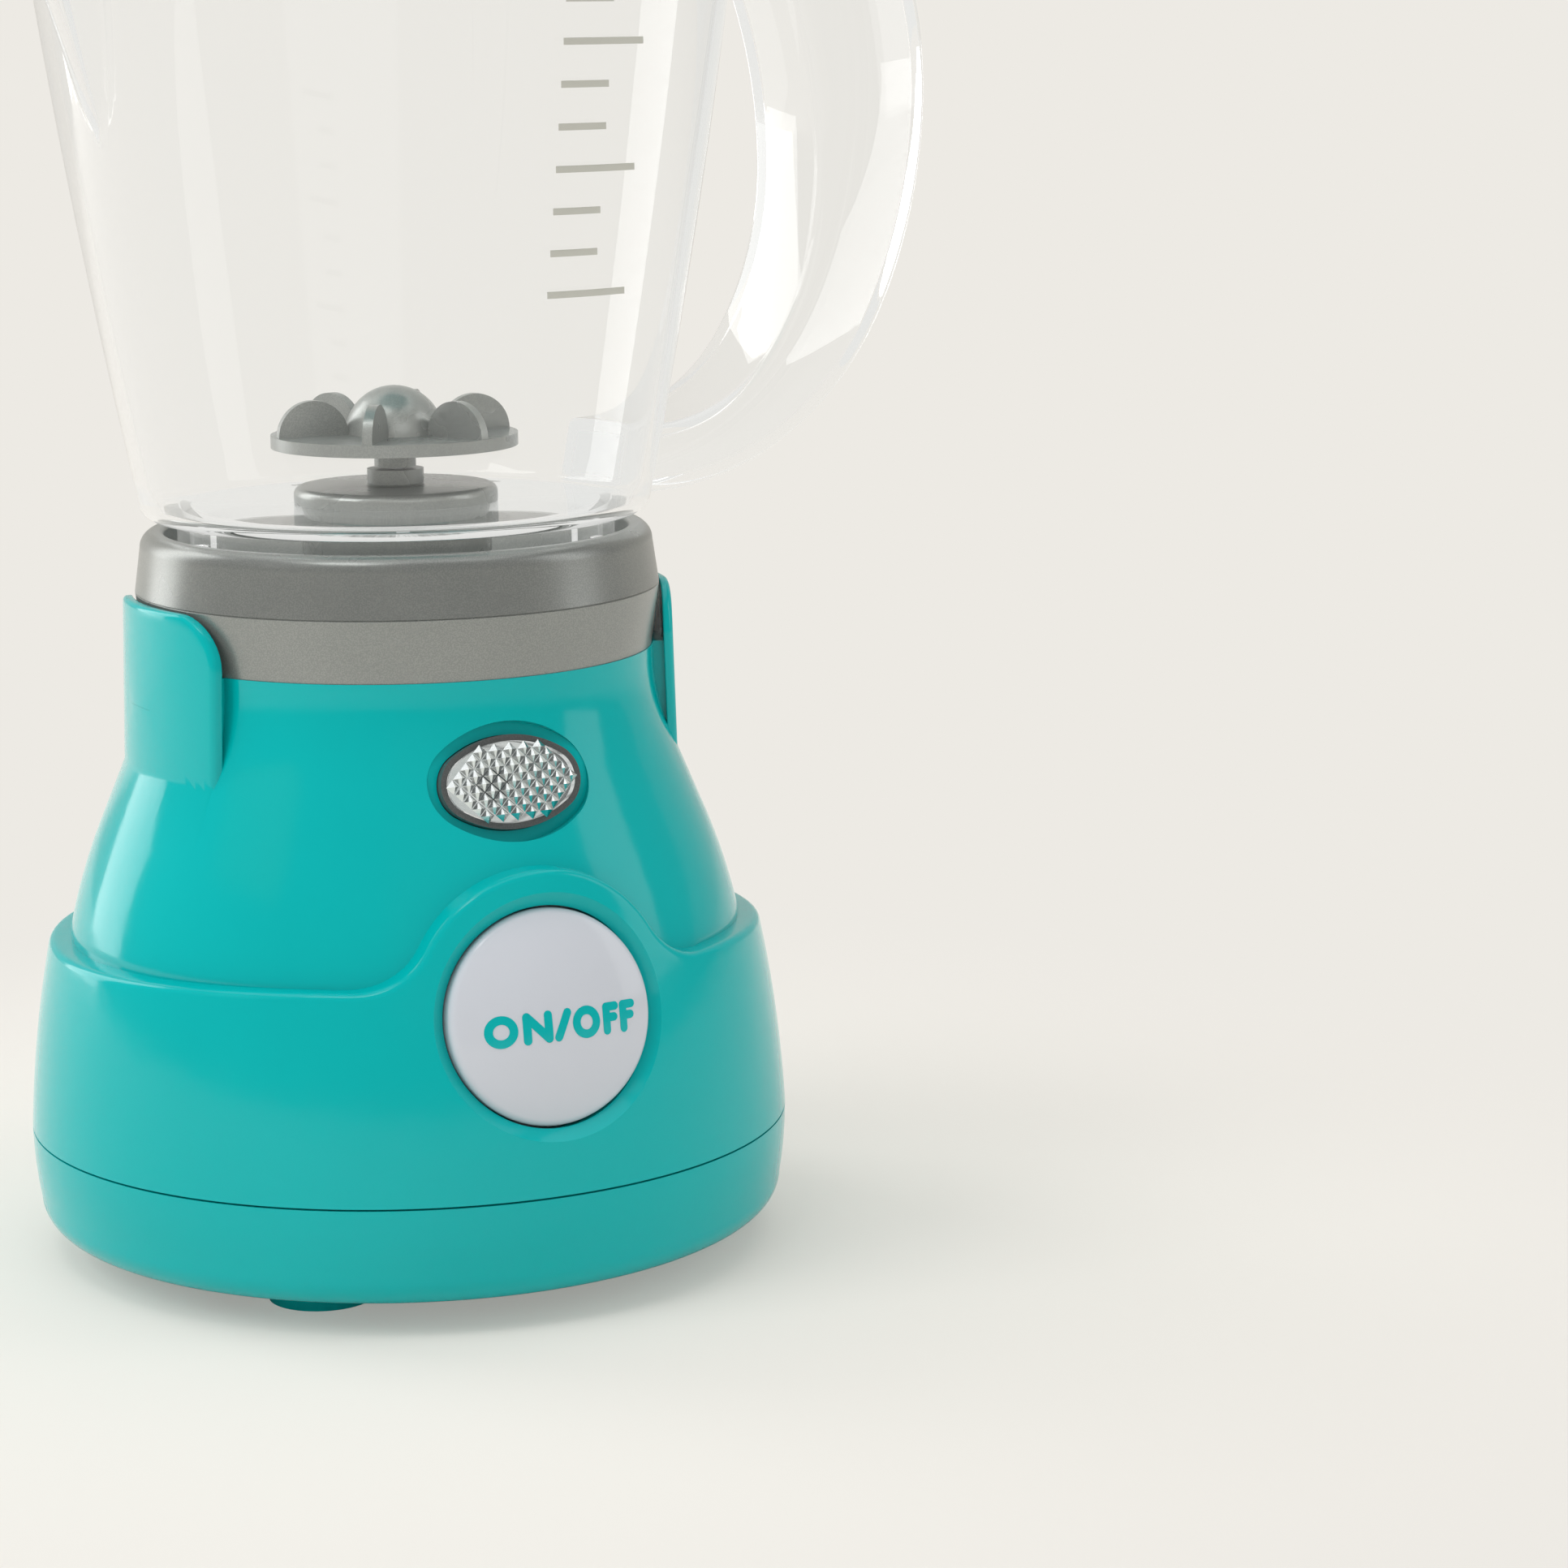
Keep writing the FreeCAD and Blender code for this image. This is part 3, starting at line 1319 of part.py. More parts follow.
def make_jug_half(label, side):
    """Half of the clear jug, cut on the plane of the spout and the handle.

    Its half of the handle is an open channel, and the two make a hollow handle."""
    body = new_body(label)
    front = side < 0
    far = D.jug_rim_radius * 3
    sketch = new_sketch(body, "XZ_Plane")
    draw_outline(sketch, handle_outline(ZERO))
    extrude(body, sketch, D.handle_width / 2, back=not front)
    sketch = new_sketch(body, "XZ_Plane")
    draw_outline(sketch, handle_outline(D.handle_wall))
    extrude(body, sketch, D.handle_width / 2 - D.handle_wall, cut=True, back=front)

    add_spout(body, ZERO, cut=False)

    sketch = new_sketch(body, "XZ_Plane")
    draw_outline(sketch, [(0, jug_low)] + [(jug_foot_radius - D.jug_wall, jug_low)]
                 + jug_side(D.jug_wall)
                 + [(D.jug_rim_radius - D.jug_wall, jug_top + D.wall * 8), (0, jug_top + D.wall * 8)])
    revolve(body, sketch, cut=True)

    wall = D.jug_wall
    inner = jug_foot_radius - wall
    bead_low = jug_top - D.rim_bead_height
    rim_inner = D.jug_rim_radius - wall
    sketch = new_sketch(body, "XZ_Plane")
    draw_outline(sketch, [
        (D.jug_hole_radius, jug_low), (neck_radius - wall, jug_low), (neck_radius - wall, neck_low),
        (neck_radius, neck_low), (neck_radius, jug_low),
        (jug_foot_radius - D.jug_corner, jug_low, bend_left(D.jug_corner)),
        (jug_foot_radius, jug_low + D.jug_corner, bend_left(D.jug_side_bend)),
        (D.jug_rim_radius, bead_low), (D.jug_rim_radius + D.rim_bead, bead_low + D.rim_bead),
        (D.jug_rim_radius + D.rim_bead, jug_top), (rim_inner, jug_top, bend_right(D.jug_side_bend - wall)),
        (inner, floor_top + D.jug_corner - D.jug_floor), (inner - D.jug_corner + D.jug_floor, floor_top),
        (D.jug_hole_radius, floor_top),
    ])
    revolve(body, sketch)

    add_spout(body, D.spout_wall, cut=True)

    # ribs that centre the neck in the collar's mouth
    rib_reach = collar_mouth_radius - D.collar_gap
    sketch = new_sketch(body, "XY_Plane", lift=neck_low)
    half = D.neck_rib_width / 2
    draw_rectangle(sketch, neck_radius - wall / 2, -half, rib_reach, half)
    rib = extrude(body, sketch, collar_top - neck_low - D.collar_gap)
    pattern_around(body, rib, D.neck_rib_count)

    sketch = new_sketch(body, "XY_Plane", lift=jug_top)
    draw_rectangle(sketch, -far, -far, far, far)
    extrude(body, sketch, D.jug_height, cut=True, back=True)
    sketch = new_sketch(body, "XZ_Plane", lift=D.weld_gap / 2 * (1 if front else -1))
    draw_rectangle(sketch, -far, neck_low - D.wall, far, jug_top + D.jug_height)
    extrude(body, sketch, far, cut=True, back=not front)
    place(body, axis=(0, 0, 1), angle=D.jug_turn)
    return body


def add_spout(body, inset, cut):
    """The pouring lip: a slanted tapered channel that leaves the jug's side at a point."""
    rim_x = D.jug_rim_radius + D.spout_reach - D.spout_lip_radius
    foot_z = jug_low + D.spout_tip_rise
    wall_x = side_reach((jug_foot_radius, jug_low + D.jug_corner), (D.jug_rim_radius, jug_top),
                        D.jug_side_bend, foot_z)
    foot_x = wall_x - D.spout_sink - D.spout_tip_radius
    over = D.spout_lip_radius
    lean = (rim_x - foot_x) / (jug_top - foot_z)
    spread = (D.spout_lip_radius - D.spout_tip_radius) / (jug_top - foot_z)
    high_x = rim_x + lean * over
    high_radius = D.spout_lip_radius + spread * over
    sketch = new_sketch(body, "XZ_Plane")
    line = Part.LineSegment(FreeCAD.Vector(-foot_x.value, foot_z.value, 0),
                            FreeCAD.Vector(-high_x.value, (jug_top + over).value, 0))
    axis = sketch.addGeometry(line, True)
    for point, place_number in (((-foot_x, foot_z), 1), ((-high_x, jug_top + over), 2)):
        constrain(sketch, "DistanceX", axis, place_number, point[0])
        constrain(sketch, "DistanceY", axis, place_number, point[1])
    draw_outline(sketch, [
        (-foot_x, foot_z), (-high_x, jug_top + over),
        (inset - high_x - high_radius, jug_top + over), (inset - foot_x - D.spout_tip_radius, foot_z),
    ])
    kind = "PartDesign::Groove" if cut else "PartDesign::Revolution"
    feature = body.newObject(kind, f"{body.Name}_spout")
    feature.Profile = sketch
    feature.ReferenceAxis = (sketch, ["Axis0"])
    feature.Angle = 360
    doc.recompute()
    return feature


def make_blade_unit():
    """Mount through the jug's floor, and the blade on its shaft with the upper clutch half."""
    mount_top = floor_top + D.mount_top
    sleeve_top = mount_top + D.sleeve_height
    bore = D.blade_shaft_radius + D.running_gap
    plug = D.jug_hole_radius - D.screw_gap
    round_off = D.mount_top * 0.8
    upper = turned("blade_mount", [
        (bore, jug_low), (plug, jug_low), (plug, floor_top), (D.mount_radius, floor_top),
        (D.mount_radius, mount_top - round_off, bend_left(round_off)),
        (D.mount_radius - round_off, mount_top), (D.sleeve_radius, mount_top),
        (D.sleeve_radius, sleeve_top), (bore, sleeve_top),
    ])
    low_level = jug_low - D.mount_low_depth
    lower = turned("blade_mount_nut", [
        (bore, low_level), (D.mount_low_radius - D.wall / 2, low_level), (D.mount_low_radius, low_level + D.wall / 2),
        (D.mount_low_radius, jug_low), (bore, jug_low),
    ])
    blade_low = sleeve_top + D.seam_gap
    disc_low = blade_low + D.blade_neck_height
    disc_top = disc_low + D.blade_thickness
    shaft_top = disc_top + D.dome_height / 2
    dome_sphere = (D.dome_radius * D.dome_radius + D.dome_height * D.dome_height) / (2 * D.dome_height)
    blade = turned("blade", [
        (D.blade_shaft_radius, blade_low), (D.blade_neck_radius, blade_low),
        (D.blade_neck_radius, disc_low), (D.blade_radius, disc_low), (D.blade_radius, disc_top),
        (D.dome_radius, disc_top, bend_left(dome_sphere)), (0, disc_top + D.dome_height),
        (0, shaft_top), (D.blade_shaft_radius, shaft_top),
    ])
    fin_centre = D.blade_radius - D.fin_radius - D.fin_thickness / 3
    sketch = new_sketch(blade, "XZ_Plane")
    root_level = disc_top - D.blade_thickness / 3
    draw_outline(sketch, [
        (fin_centre + D.fin_radius, root_level), (fin_centre + D.fin_radius, disc_top, bend_left(D.fin_radius)),
        (fin_centre, disc_top + D.fin_radius, bend_left(D.fin_radius)), (fin_centre - D.fin_radius, disc_top),
        (fin_centre - D.fin_radius, root_level),
    ])
    fin = extrude(blade, sketch, D.fin_thickness, both=True)
    pattern_around(blade, fin, D.fin_count)
    place(blade, axis=(0, 0, 1), angle=D.blade_turn)

    upper_disc_top = low_level - D.dog_clearance
    upper_disc_low = upper_disc_top - D.dog_disc_thickness
    shaft = turned("blade_shaft", [
        (0, upper_disc_low), (D.blade_shaft_radius, upper_disc_low), (D.blade_shaft_radius, shaft_top),
        (0, shaft_top),
    ])
    clutch = turned("jug_coupling", [
        (D.blade_shaft_radius, upper_disc_low), (D.dog_disc_radius, upper_disc_low),
        (D.dog_disc_radius, upper_disc_top), (D.blade_shaft_radius, upper_disc_top),
    ])
    return [upper, lower, blade, shaft, clutch], upper_disc_low


def make_lid():
    """Lid with a skirt that drops into the jug's rim and a round knob."""
    low = jug_top + D.seam_gap
    rim = D.jug_rim_radius + D.rim_bead + D.lid_overhang
    skirt_outer = D.jug_rim_radius - D.jug_wall - D.lid_gap * 2
    skirt_inner = skirt_outer - D.lid_thickness
    plate_high = low + D.lid_thickness
    crown = plate_high + D.lid_dome
    knob_top = crown + D.knob_height
    knob = D.knob_radius
    return turned("lid", [
        (skirt_inner, low - D.lid_skirt), (skirt_outer, low - D.lid_skirt), (skirt_outer, low),
        (rim, low), (rim, plate_high - D.lid_thickness / 3), (rim - D.lid_thickness / 3, plate_high),
        (skirt_inner, plate_high), (knob + D.wall, crown),
        (knob, crown + D.wall), (knob, knob_top - D.wall, bend_left(D.wall)), (knob - D.wall, knob_top),
        (0, knob_top), (0, knob_top - D.lid_thickness), (knob - D.lid_thickness, knob_top - D.lid_thickness),
        (knob - D.lid_thickness, crown - D.lid_thickness / 2), (skirt_inner, low),
    ])


parts = [make_housing(), make_bottom_cover(), make_battery_door(), make_collar()]
parts += make_cells() + make_contacts()
parts += make_button()
parts += make_lamp()
parts.append(make_gear_plate())
drive_parts, drive_disc_top = make_drive()
parts += drive_parts + make_motor()
parts.append(make_jug_half("jug_front_half", -1))
parts.append(make_jug_half("jug_back_half", 1))
blade_parts, jug_disc_low = make_blade_unit()
add_dogs(blade_parts[-1], jug_disc_low, jug_disc_low - drive_disc_top - D.dog_clearance, 180, down=True)
parts += blade_parts
parts.append(make_lid())

cover_points = ring_points(cover_screw_circle, COVER_SCREW_ANGLES)
collar_points = ring_points(collar_screw_circle, CORNER_ANGLES)
plate_points = ring_points(post_circle, CORNER_ANGLES)
parts.append(screw_group("cover_screws", cover_points, cover_head_level(), True, seam))
parts.append(screw_group("battery_door_screw", [(door_screw_x(), ZERO)], D.foot_height, True, D.wall * 3))
parts.append(screw_group("collar_screws", collar_points, deck_low, True,
                         D.deck_thickness + D.collar_ledge_rise / 2))
parts.append(screw_group("plate_screws", plate_points, plate_low, True, D.plate_thickness * 2.5))
bracket_points = [(D.bracket_post_spread * side, ZERO) for side in (-1, 1)]
bracket_screws = screw_group("bracket_screws", bracket_points, -bracket_depth - D.bracket_thickness, True,
                             D.bracket_thickness * 3)
parts.append(button_place(bracket_screws))

doc.recompute()
faults = [item.Label for item in doc.Objects if "Invalid" in item.State or "Error" in item.State]
for item in parts:
    if item.Shape.isNull() or not item.Shape.isValid():
        faults.append(item.Label)
if faults:
    raise RuntimeError(f"these did not build: {sorted(set(faults))}")

os.makedirs("parts", exist_ok=True)
for item in parts:
    item.Shape.exportStep(f"parts/{item.Label}.step")
    box = item.Shape.BoundBox
    print(f"{item.Label}: {len(item.Shape.Solids)} solid, volume {item.Shape.Volume:.1f}, "
          f"z {box.ZMin:.2f} to {box.ZMax:.2f}")
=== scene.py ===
# %% [markdown]
# # A toy blender, dressed for its portrait
# The toy is a glossy teal base with a push button and a faceted lamp, a silver-grey collar,
# and a clear jug with a spinning blade. The measured model comes in first as a fixed frame.
# Everything made here fits round that frame, in metres, with +Z up and the button facing -Y.

# %% Load the measured frame
import json
import math

import bmesh
import bpy
from mathutils import Matrix, Vector

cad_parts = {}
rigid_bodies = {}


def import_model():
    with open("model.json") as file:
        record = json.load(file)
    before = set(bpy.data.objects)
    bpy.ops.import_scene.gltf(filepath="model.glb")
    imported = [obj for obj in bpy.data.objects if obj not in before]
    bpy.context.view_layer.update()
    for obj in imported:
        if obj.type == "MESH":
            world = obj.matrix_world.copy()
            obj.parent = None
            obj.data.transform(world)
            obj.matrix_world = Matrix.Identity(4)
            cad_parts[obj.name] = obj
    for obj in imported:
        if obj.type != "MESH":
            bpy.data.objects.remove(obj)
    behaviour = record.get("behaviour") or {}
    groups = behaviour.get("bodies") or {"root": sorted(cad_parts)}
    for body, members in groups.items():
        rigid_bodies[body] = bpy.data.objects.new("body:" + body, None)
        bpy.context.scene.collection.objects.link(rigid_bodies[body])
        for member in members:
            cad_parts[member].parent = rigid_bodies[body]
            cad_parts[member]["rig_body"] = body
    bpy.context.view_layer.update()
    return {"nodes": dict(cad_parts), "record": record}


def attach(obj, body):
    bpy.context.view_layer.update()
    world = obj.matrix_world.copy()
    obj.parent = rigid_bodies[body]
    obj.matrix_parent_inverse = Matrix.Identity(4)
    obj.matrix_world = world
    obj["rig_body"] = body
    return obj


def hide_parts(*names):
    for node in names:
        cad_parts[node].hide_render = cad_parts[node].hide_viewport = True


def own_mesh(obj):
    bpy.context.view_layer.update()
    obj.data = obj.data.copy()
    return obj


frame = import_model()
nodes = frame["nodes"]
MM = 0.001
print("nodes in the frame:", len(nodes))

# %% [markdown]
# ## The camera
# A product photograph is a long lens from a short way off. Three turns describe how the camera
# points: to the side, down, and a slight roll. It stands in front of the toy, and the whole
# toy is turned about 22 degrees away from it, so that the button faces to the right.

# %% Camera
SUBJECT_TURN = math.radians(22.5)
CAMERA_DISTANCE = 640 * MM
CAMERA_HEIGHT = 191.64 * MM
CAMERA_YAW = 0.0929
CAMERA_PITCH = 0.1868
CAMERA_ROLL = -0.0086
SENSOR_WIDTH_MM = 36.0
LENS_MM = 95.39


def new_object(name, data):
    """An object in the scene that shows some data."""
    made = bpy.data.objects.new(name, data)
    bpy.context.scene.collection.objects.link(made)
    return made


def make_camera():
    """The camera that sees the toy as the photograph does."""
    forward = Vector((
        math.sin(CAMERA_YAW) * math.cos(CAMERA_PITCH),
        math.cos(CAMERA_YAW) * math.cos(CAMERA_PITCH),
        -math.sin(CAMERA_PITCH),
    ))
    right = forward.cross(Vector((0, 0, 1))).normalized()
    up = right.cross(forward)
    level_right = math.cos(CAMERA_ROLL) * right + math.sin(CAMERA_ROLL) * up
    level_up = math.cos(CAMERA_ROLL) * up - math.sin(CAMERA_ROLL) * right
    look = Matrix((level_right, level_up, -forward)).transposed().to_4x4()
    stand = Matrix.Translation((0, -CAMERA_DISTANCE, CAMERA_HEIGHT))
    data = bpy.data.cameras.new("portrait")
    data.sensor_width = SENSOR_WIDTH_MM
    data.lens = LENS_MM
    data.clip_start = 0.05
    data.clip_end = 20
    camera = new_object("portrait", data)
    camera.matrix_world = Matrix.Rotation(-SUBJECT_TURN, 4, "Z") @ stand @ look
    bpy.context.scene.camera = camera
    return camera


camera = make_camera()
print("camera stands at", [round(value, 4) for value in camera.location])

# %% [markdown]
# ## A small language for materials
# A material is a graph of nodes. Writing that graph by hand is slow to read, so one small
# class wraps an output socket and lets it be added, multiplied or subtracted like a number.
# Another class holds one material and adds any other node from its type, settings and inputs.


# %% Shader helpers
class Signal:
    """One output socket of a material that takes part in sums."""

    def __init__(self, finish, socket):
        self.finish = finish
        self.socket = socket

    def __add__(self, other):
        return self.finish.sum("ADD", self, other)

    def __sub__(self, other):
        return self.finish.sum("SUBTRACT", self, other)

    def __mul__(self, other):
        return self.finish.sum("MULTIPLY", self, other)

    def __rsub__(self, other):
        return self.finish.sum("SUBTRACT", other, self)

    __radd__ = __add__
    __rmul__ = __mul__


class Finish:
    """One material: its shader and a way to add nodes to it."""

    def __init__(self, name, **constants):
        self.material = bpy.data.materials.new(name)
        self.material.use_nodes = True
        self.tree = self.material.node_tree
        self.shader = self.tree.nodes["Principled BSDF"]
        for socket_name, value in constants.items():
            self.shader.inputs[socket_name.replace("_", " ")].default_value = value

    def add(self, kind, settings=None, output=0, **inputs):
        """Adds a node. Settings come first, then values or links for its sockets."""
        node = self.tree.nodes.new(kind)
        for name, value in (settings or {}).items():
            setattr(node, name, value)
        for name, value in inputs.items():
            key = int(name[1:]) if name[0] == "i" and name[1:].isdigit() else name.replace("_", " ")
            self.feed(node.inputs[key], value)
        return Signal(self, node.outputs[output])

    def feed(self, socket, value):
        """Links a signal to a socket, or sets the socket's own value."""
        if isinstance(value, Signal):
            self.tree.links.new(value.socket, socket)
        else:
            socket.default_value = value

    def sum(self, operation, first, second):
        """A Math node on two values."""
        return self.add("ShaderNodeMath", {"operation": operation}, i0=first, i1=second)

    def set(self, name, value):
        """Feeds one of the shader's own sockets."""
        self.feed(self.shader.inputs[name], value)

    def where(self):
        """Position on the piece in metres."""
        return self.add("ShaderNodeTexCoord", output="Object")

    def noise(self, scale, detail=2.0, place=None):
        """Cloudy noise of a size given as repeats for each metre."""
        place = place or self.where()
        return self.add("ShaderNodeTexNoise", Vector=place, Scale=scale, Detail=detail)

    def blend(self, amount, first, second):
        """Mixes two colours by an amount."""
        node = self.tree.nodes.new("ShaderNodeMix")
        node.data_type = "RGBA"
        for key, value in (("Factor_Float", amount), ("A_Color", first), ("B_Color", second)):
            self.feed(next(item for item in node.inputs if item.identifier == key), value)
        result = next(item for item in node.outputs if item.identifier == "Result_Color")
        return Signal(self, result)

    def path(self, kind):
        """What Light Path says of the ray that meets the surface."""
        return self.add("ShaderNodeLightPath", output=kind)

    def cover(self, amount, other):
        """Puts another shader over what the surface shows so far, by an amount."""
        surface = self.tree.nodes["Material Output"].inputs["Surface"]
        so_far = Signal(self, surface.links[0].from_socket)
        self.feed(surface, self.add("ShaderNodeMixShader", i0=amount, i1=so_far, i2=other))

    def bump(self, height, distance, strength=1.0):
        """Turns a height in metres into a bent normal."""
        normal = self.add("ShaderNodeBump", Height=height, Distance=distance, Strength=strength)
        self.set("Normal", normal)


print("shader helpers ready")

# %% [markdown]
# ## Moulded plastics
# The teal and the white are gloss-moulded. A real moulding is never one flat colour: it has a
# faint cloudiness from the flow of the plastic, a roughness that drifts, and a very weak
# orange-peel ripple that bends the reflections. Each of those is a cloud of noise here.

# %% Gloss plastics
CLOUD_SCALE = 22.0
RIPPLE_SCALE = 160.0
DRIFT = 0.08


def gloss_plastic(name, deep, bright, roughness, ripple, coat=0.25):
    """A gloss moulding: two near colours, a drifting roughness and a weak ripple."""
    finish = Finish(name, IOR=1.5, Coat_Roughness=0.05, Specular_IOR_Level=0.24)
    cloud = finish.noise(CLOUD_SCALE, 3.0)
    finish.set("Base Color", finish.blend(cloud, deep, bright))
    drift = finish.noise(CLOUD_SCALE * 3, 4.0)
    finish.set("Roughness", drift * DRIFT + (roughness - DRIFT / 2))
    finish.shader.inputs["Coat Weight"].default_value = coat
    finish.bump(finish.noise(RIPPLE_SCALE, 2.0), ripple)
    return finish.material


teal = gloss_plastic(
    "teal_plastic", (0.0, 0.41, 0.415, 1), (0.0, 0.46, 0.465, 1), 0.13, 0.00005, coat=0.08)
white = gloss_plastic(
    "white_plastic", (0.59, 0.62, 0.68, 1), (0.63, 0.66, 0.72, 1), 0.12, 0.00003)
print("gloss plastics:", teal.name, white.name)

# %% [markdown]
# ## Silver-grey plastic
# The collar, the blade and the lamp's rim are moulded from grey plastic with fine metal
# flakes in it. A small, hard noise makes the flakes, which lift the colour in tiny spots and
# tilt the surface a little, and a larger cloud follows the flow of the moulding.

# %% Grey flake plastic
FLAKE_SCALE = 5200.0
FLAKE_LOW, FLAKE_HIGH = 0.42, 0.62
FLOW_SCALE = 60.0


def flake_plastic(name, deep, bright, metallic):
    """Grey plastic with fine flakes."""
    finish = Finish(name, IOR=1.5, Metallic=metallic)
    flakes = finish.noise(FLAKE_SCALE, 0.0)
    hard = finish.add("ShaderNodeMapRange", {"clamp": True}, Value=flakes,
                      From_Min=FLAKE_LOW, From_Max=FLAKE_HIGH)
    cloud = finish.noise(FLOW_SCALE, 3.0)
    finish.set("Base Color", finish.blend(hard * 0.5 + cloud * 0.5, deep, bright))
    finish.set("Roughness", cloud * 0.12 + 0.22)
    finish.bump(flakes, 0.00002, 0.15)
    return finish.material


grey = flake_plastic("grey_plastic", (0.23, 0.245, 0.235, 1), (0.33, 0.34, 0.325, 1), 0.5)
bezel_grey = flake_plastic("bezel_grey", (0.12, 0.13, 0.13, 1), (0.19, 0.20, 0.20, 1), 0.5)
dark_grey = flake_plastic("black_plastic", (0.03, 0.03, 0.033, 1), (0.06, 0.06, 0.065, 1), 0.0)
print("flake plastics:", grey.name, bezel_grey.name, dark_grey.name)

# %% [markdown]
# ## Clear plastic
# The jug is clear styrene. Light goes through it, so its transmission is full. Its index is a
# little lower than that of styrene, because at the full index the edges of a thin wall mirror
# the dark inside of the wall. Its roughness is nearly nothing, with a faint drift, and long
# weak waves in the surface break up the reflections as moulded walls do. Two more things help:
# lamplight passes the wall to what stands inside, and light that is trapped in it after
# several bounces comes out pale, where the renderer would give up and show black.

# %% Clear plastics
TRAPPED_DEPTH = 4.5
CLEAR_INDEX = 1.36
WALL_SHADOW = (0.93, 0.93, 0.93, 1)
TRAPPED_LIGHT = (0.80, 0.80, 0.78, 1)


def clear_plastic(name, tint, roughness, wave):
    """Clear moulded plastic."""
    finish = Finish(name, IOR=CLEAR_INDEX, Transmission_Weight=1.0, Base_Color=tint)
    drift = finish.noise(40.0, 2.0)
    finish.set("Roughness", drift * 0.02 + roughness)
    finish.bump(finish.noise(26.0, 1.0), wave)
    trapped = finish.sum("GREATER_THAN", finish.path("Ray Depth"), TRAPPED_DEPTH)
    finish.cover(trapped, finish.add("ShaderNodeEmission", Color=TRAPPED_LIGHT, Strength=1.0))
    shadow = finish.add("ShaderNodeBsdfTransparent", Color=WALL_SHADOW)
    finish.cover(finish.path("Is Shadow Ray"), shadow)
    return finish.material


clear = clear_plastic("clear_plastic", (0.985, 0.99, 0.992, 1), 0.005, 0.00012)
crystal = clear_plastic("lens_plastic", (0.97, 0.98, 0.98, 1), 0.01, 0.00001)
print("clear plastics:", clear.name, crystal.name)

# %% [markdown]
# ## Metals and the rest of the inside
# Nobody sees the motor or the cells while the toy is whole, but they are there. Turned and
# rolled metal has fine lines along the way it was worked, so the noise is stretched.

# %% Metals
LINE_SCALE = 700.0
LINE_STRETCH = (1, 1, 12)


def worked_metal(name, deep, bright, roughness):
    """Metal with fine lines along the way it was worked."""
    finish = Finish(name, Metallic=1.0)
    stretched = finish.add("ShaderNodeMapping", Vector=finish.where(), Scale=LINE_STRETCH)
    lines = finish.noise(LINE_SCALE, 3.0, stretched)
    finish.set("Base Color", finish.blend(lines, deep, bright))
    finish.set("Roughness", lines * 0.2 + roughness)
    finish.bump(lines, 0.00001, 0.4)
    return finish.material


steel = worked_metal("steel", (0.46, 0.46, 0.47, 1), (0.68, 0.68, 0.69, 1), 0.22)
brass = worked_metal("brass", (0.60, 0.43, 0.16, 1), (0.75, 0.58, 0.27, 1), 0.22)
mirror = worked_metal("reflector_foil", (0.78, 0.80, 0.80, 1), (0.92, 0.93, 0.93, 1), 0.04)
glint = worked_metal("lens_facets", (0.66, 0.70, 0.70, 1), (0.78, 0.81, 0.81, 1), 0.05)
sleeve = gloss_plastic("cell_jacket", (0.10, 0.11, 0.12, 1), (0.15, 0.16, 0.17, 1), 0.3, 0.00002)
natural = gloss_plastic(
    "inner_plastic", (0.55, 0.54, 0.50, 1), (0.66, 0.65, 0.61, 1), 0.4, 0.00005, coat=0.0)
print("metals and inner finishes ready")

# %% [markdown]
# ## From the frame's loose triangles to smooth mouldings
# The frame's pieces are exact, but they are loose triangles. A copy of each is merged at its
# corners, its sharp edges are marked by angle, and the rest is shaded smooth. The copy then
# stands for the piece, rides on the same body and takes a finish.

# %% Dress each piece of the frame
SLOT_FINISH = {
    "teal_plastic": teal, "grey_plastic": grey, "clear_plastic": clear, "lens_plastic": crystal,
    "white_plastic": white, "inner_plastic": natural, "black_plastic": dark_grey, "steel": steel,
    "brass": brass, "cell_jacket": sleeve,
}
node_slot = {item["node"]: item["material_slot"] for item in frame["record"]["subparts"]}
node_body = {name: piece["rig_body"] for name, piece in nodes.items()}
SHARP = math.radians(32)
MERGE = 2e-6


def finish_mesh(mesh, material, sharp=SHARP):
    """Shades a mesh smooth except at its sharp edges and gives it one material."""
    mesh.materials.clear()
    mesh.materials.append(material)
    shape = bmesh.new()
    shape.from_mesh(mesh)
    bmesh.ops.remove_doubles(shape, verts=shape.verts, dist=MERGE)
    for face in shape.faces:
        face.smooth = True
        face.material_index = 0
    for edge in shape.edges:
        edge.smooth = not (len(edge.link_faces) == 2 and edge.calc_face_angle(0) > sharp)
    shape.to_mesh(mesh)
    shape.free()


def smooth_copy(node_name, material=None):
    """A merged, smooth-shaded copy that stands for a piece of the frame."""
    mesh = nodes[node_name].data.copy()
    finish_mesh(mesh, material or SLOT_FINISH[node_slot[node_name]])
    piece = new_object(node_name + "_moulded", mesh)
    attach(piece, node_body[node_name])
    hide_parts(node_name)
    return piece


OWN_FINISH = {"reflector": mirror, "lens_bezel": bezel_grey}
MADE_BELOW = {
    "base_housing", "blade_mount", "button_cap", "collar", "jug_back_half", "jug_front_half"}
for name in sorted(set(nodes) - MADE_BELOW):
    smooth_copy(name, OWN_FINISH.get(name))
print("pieces dressed:", len(nodes) - len(MADE_BELOW))

# %% [markdown]
# ## Shapes from outlines
# Most of this toy was turned or moulded round an upright axis, so most pieces are an outline
# turned on a lathe. Lengths in the outlines are millimetres, because the toy's drawing is in
# millimetres, and a piece is scaled to metres when it is finished. A bow is an arc between
# two points of an outline, given by its radius, and it turns left on the way.

# %% Outline, lathe and loft
ROUND_STEPS = 256


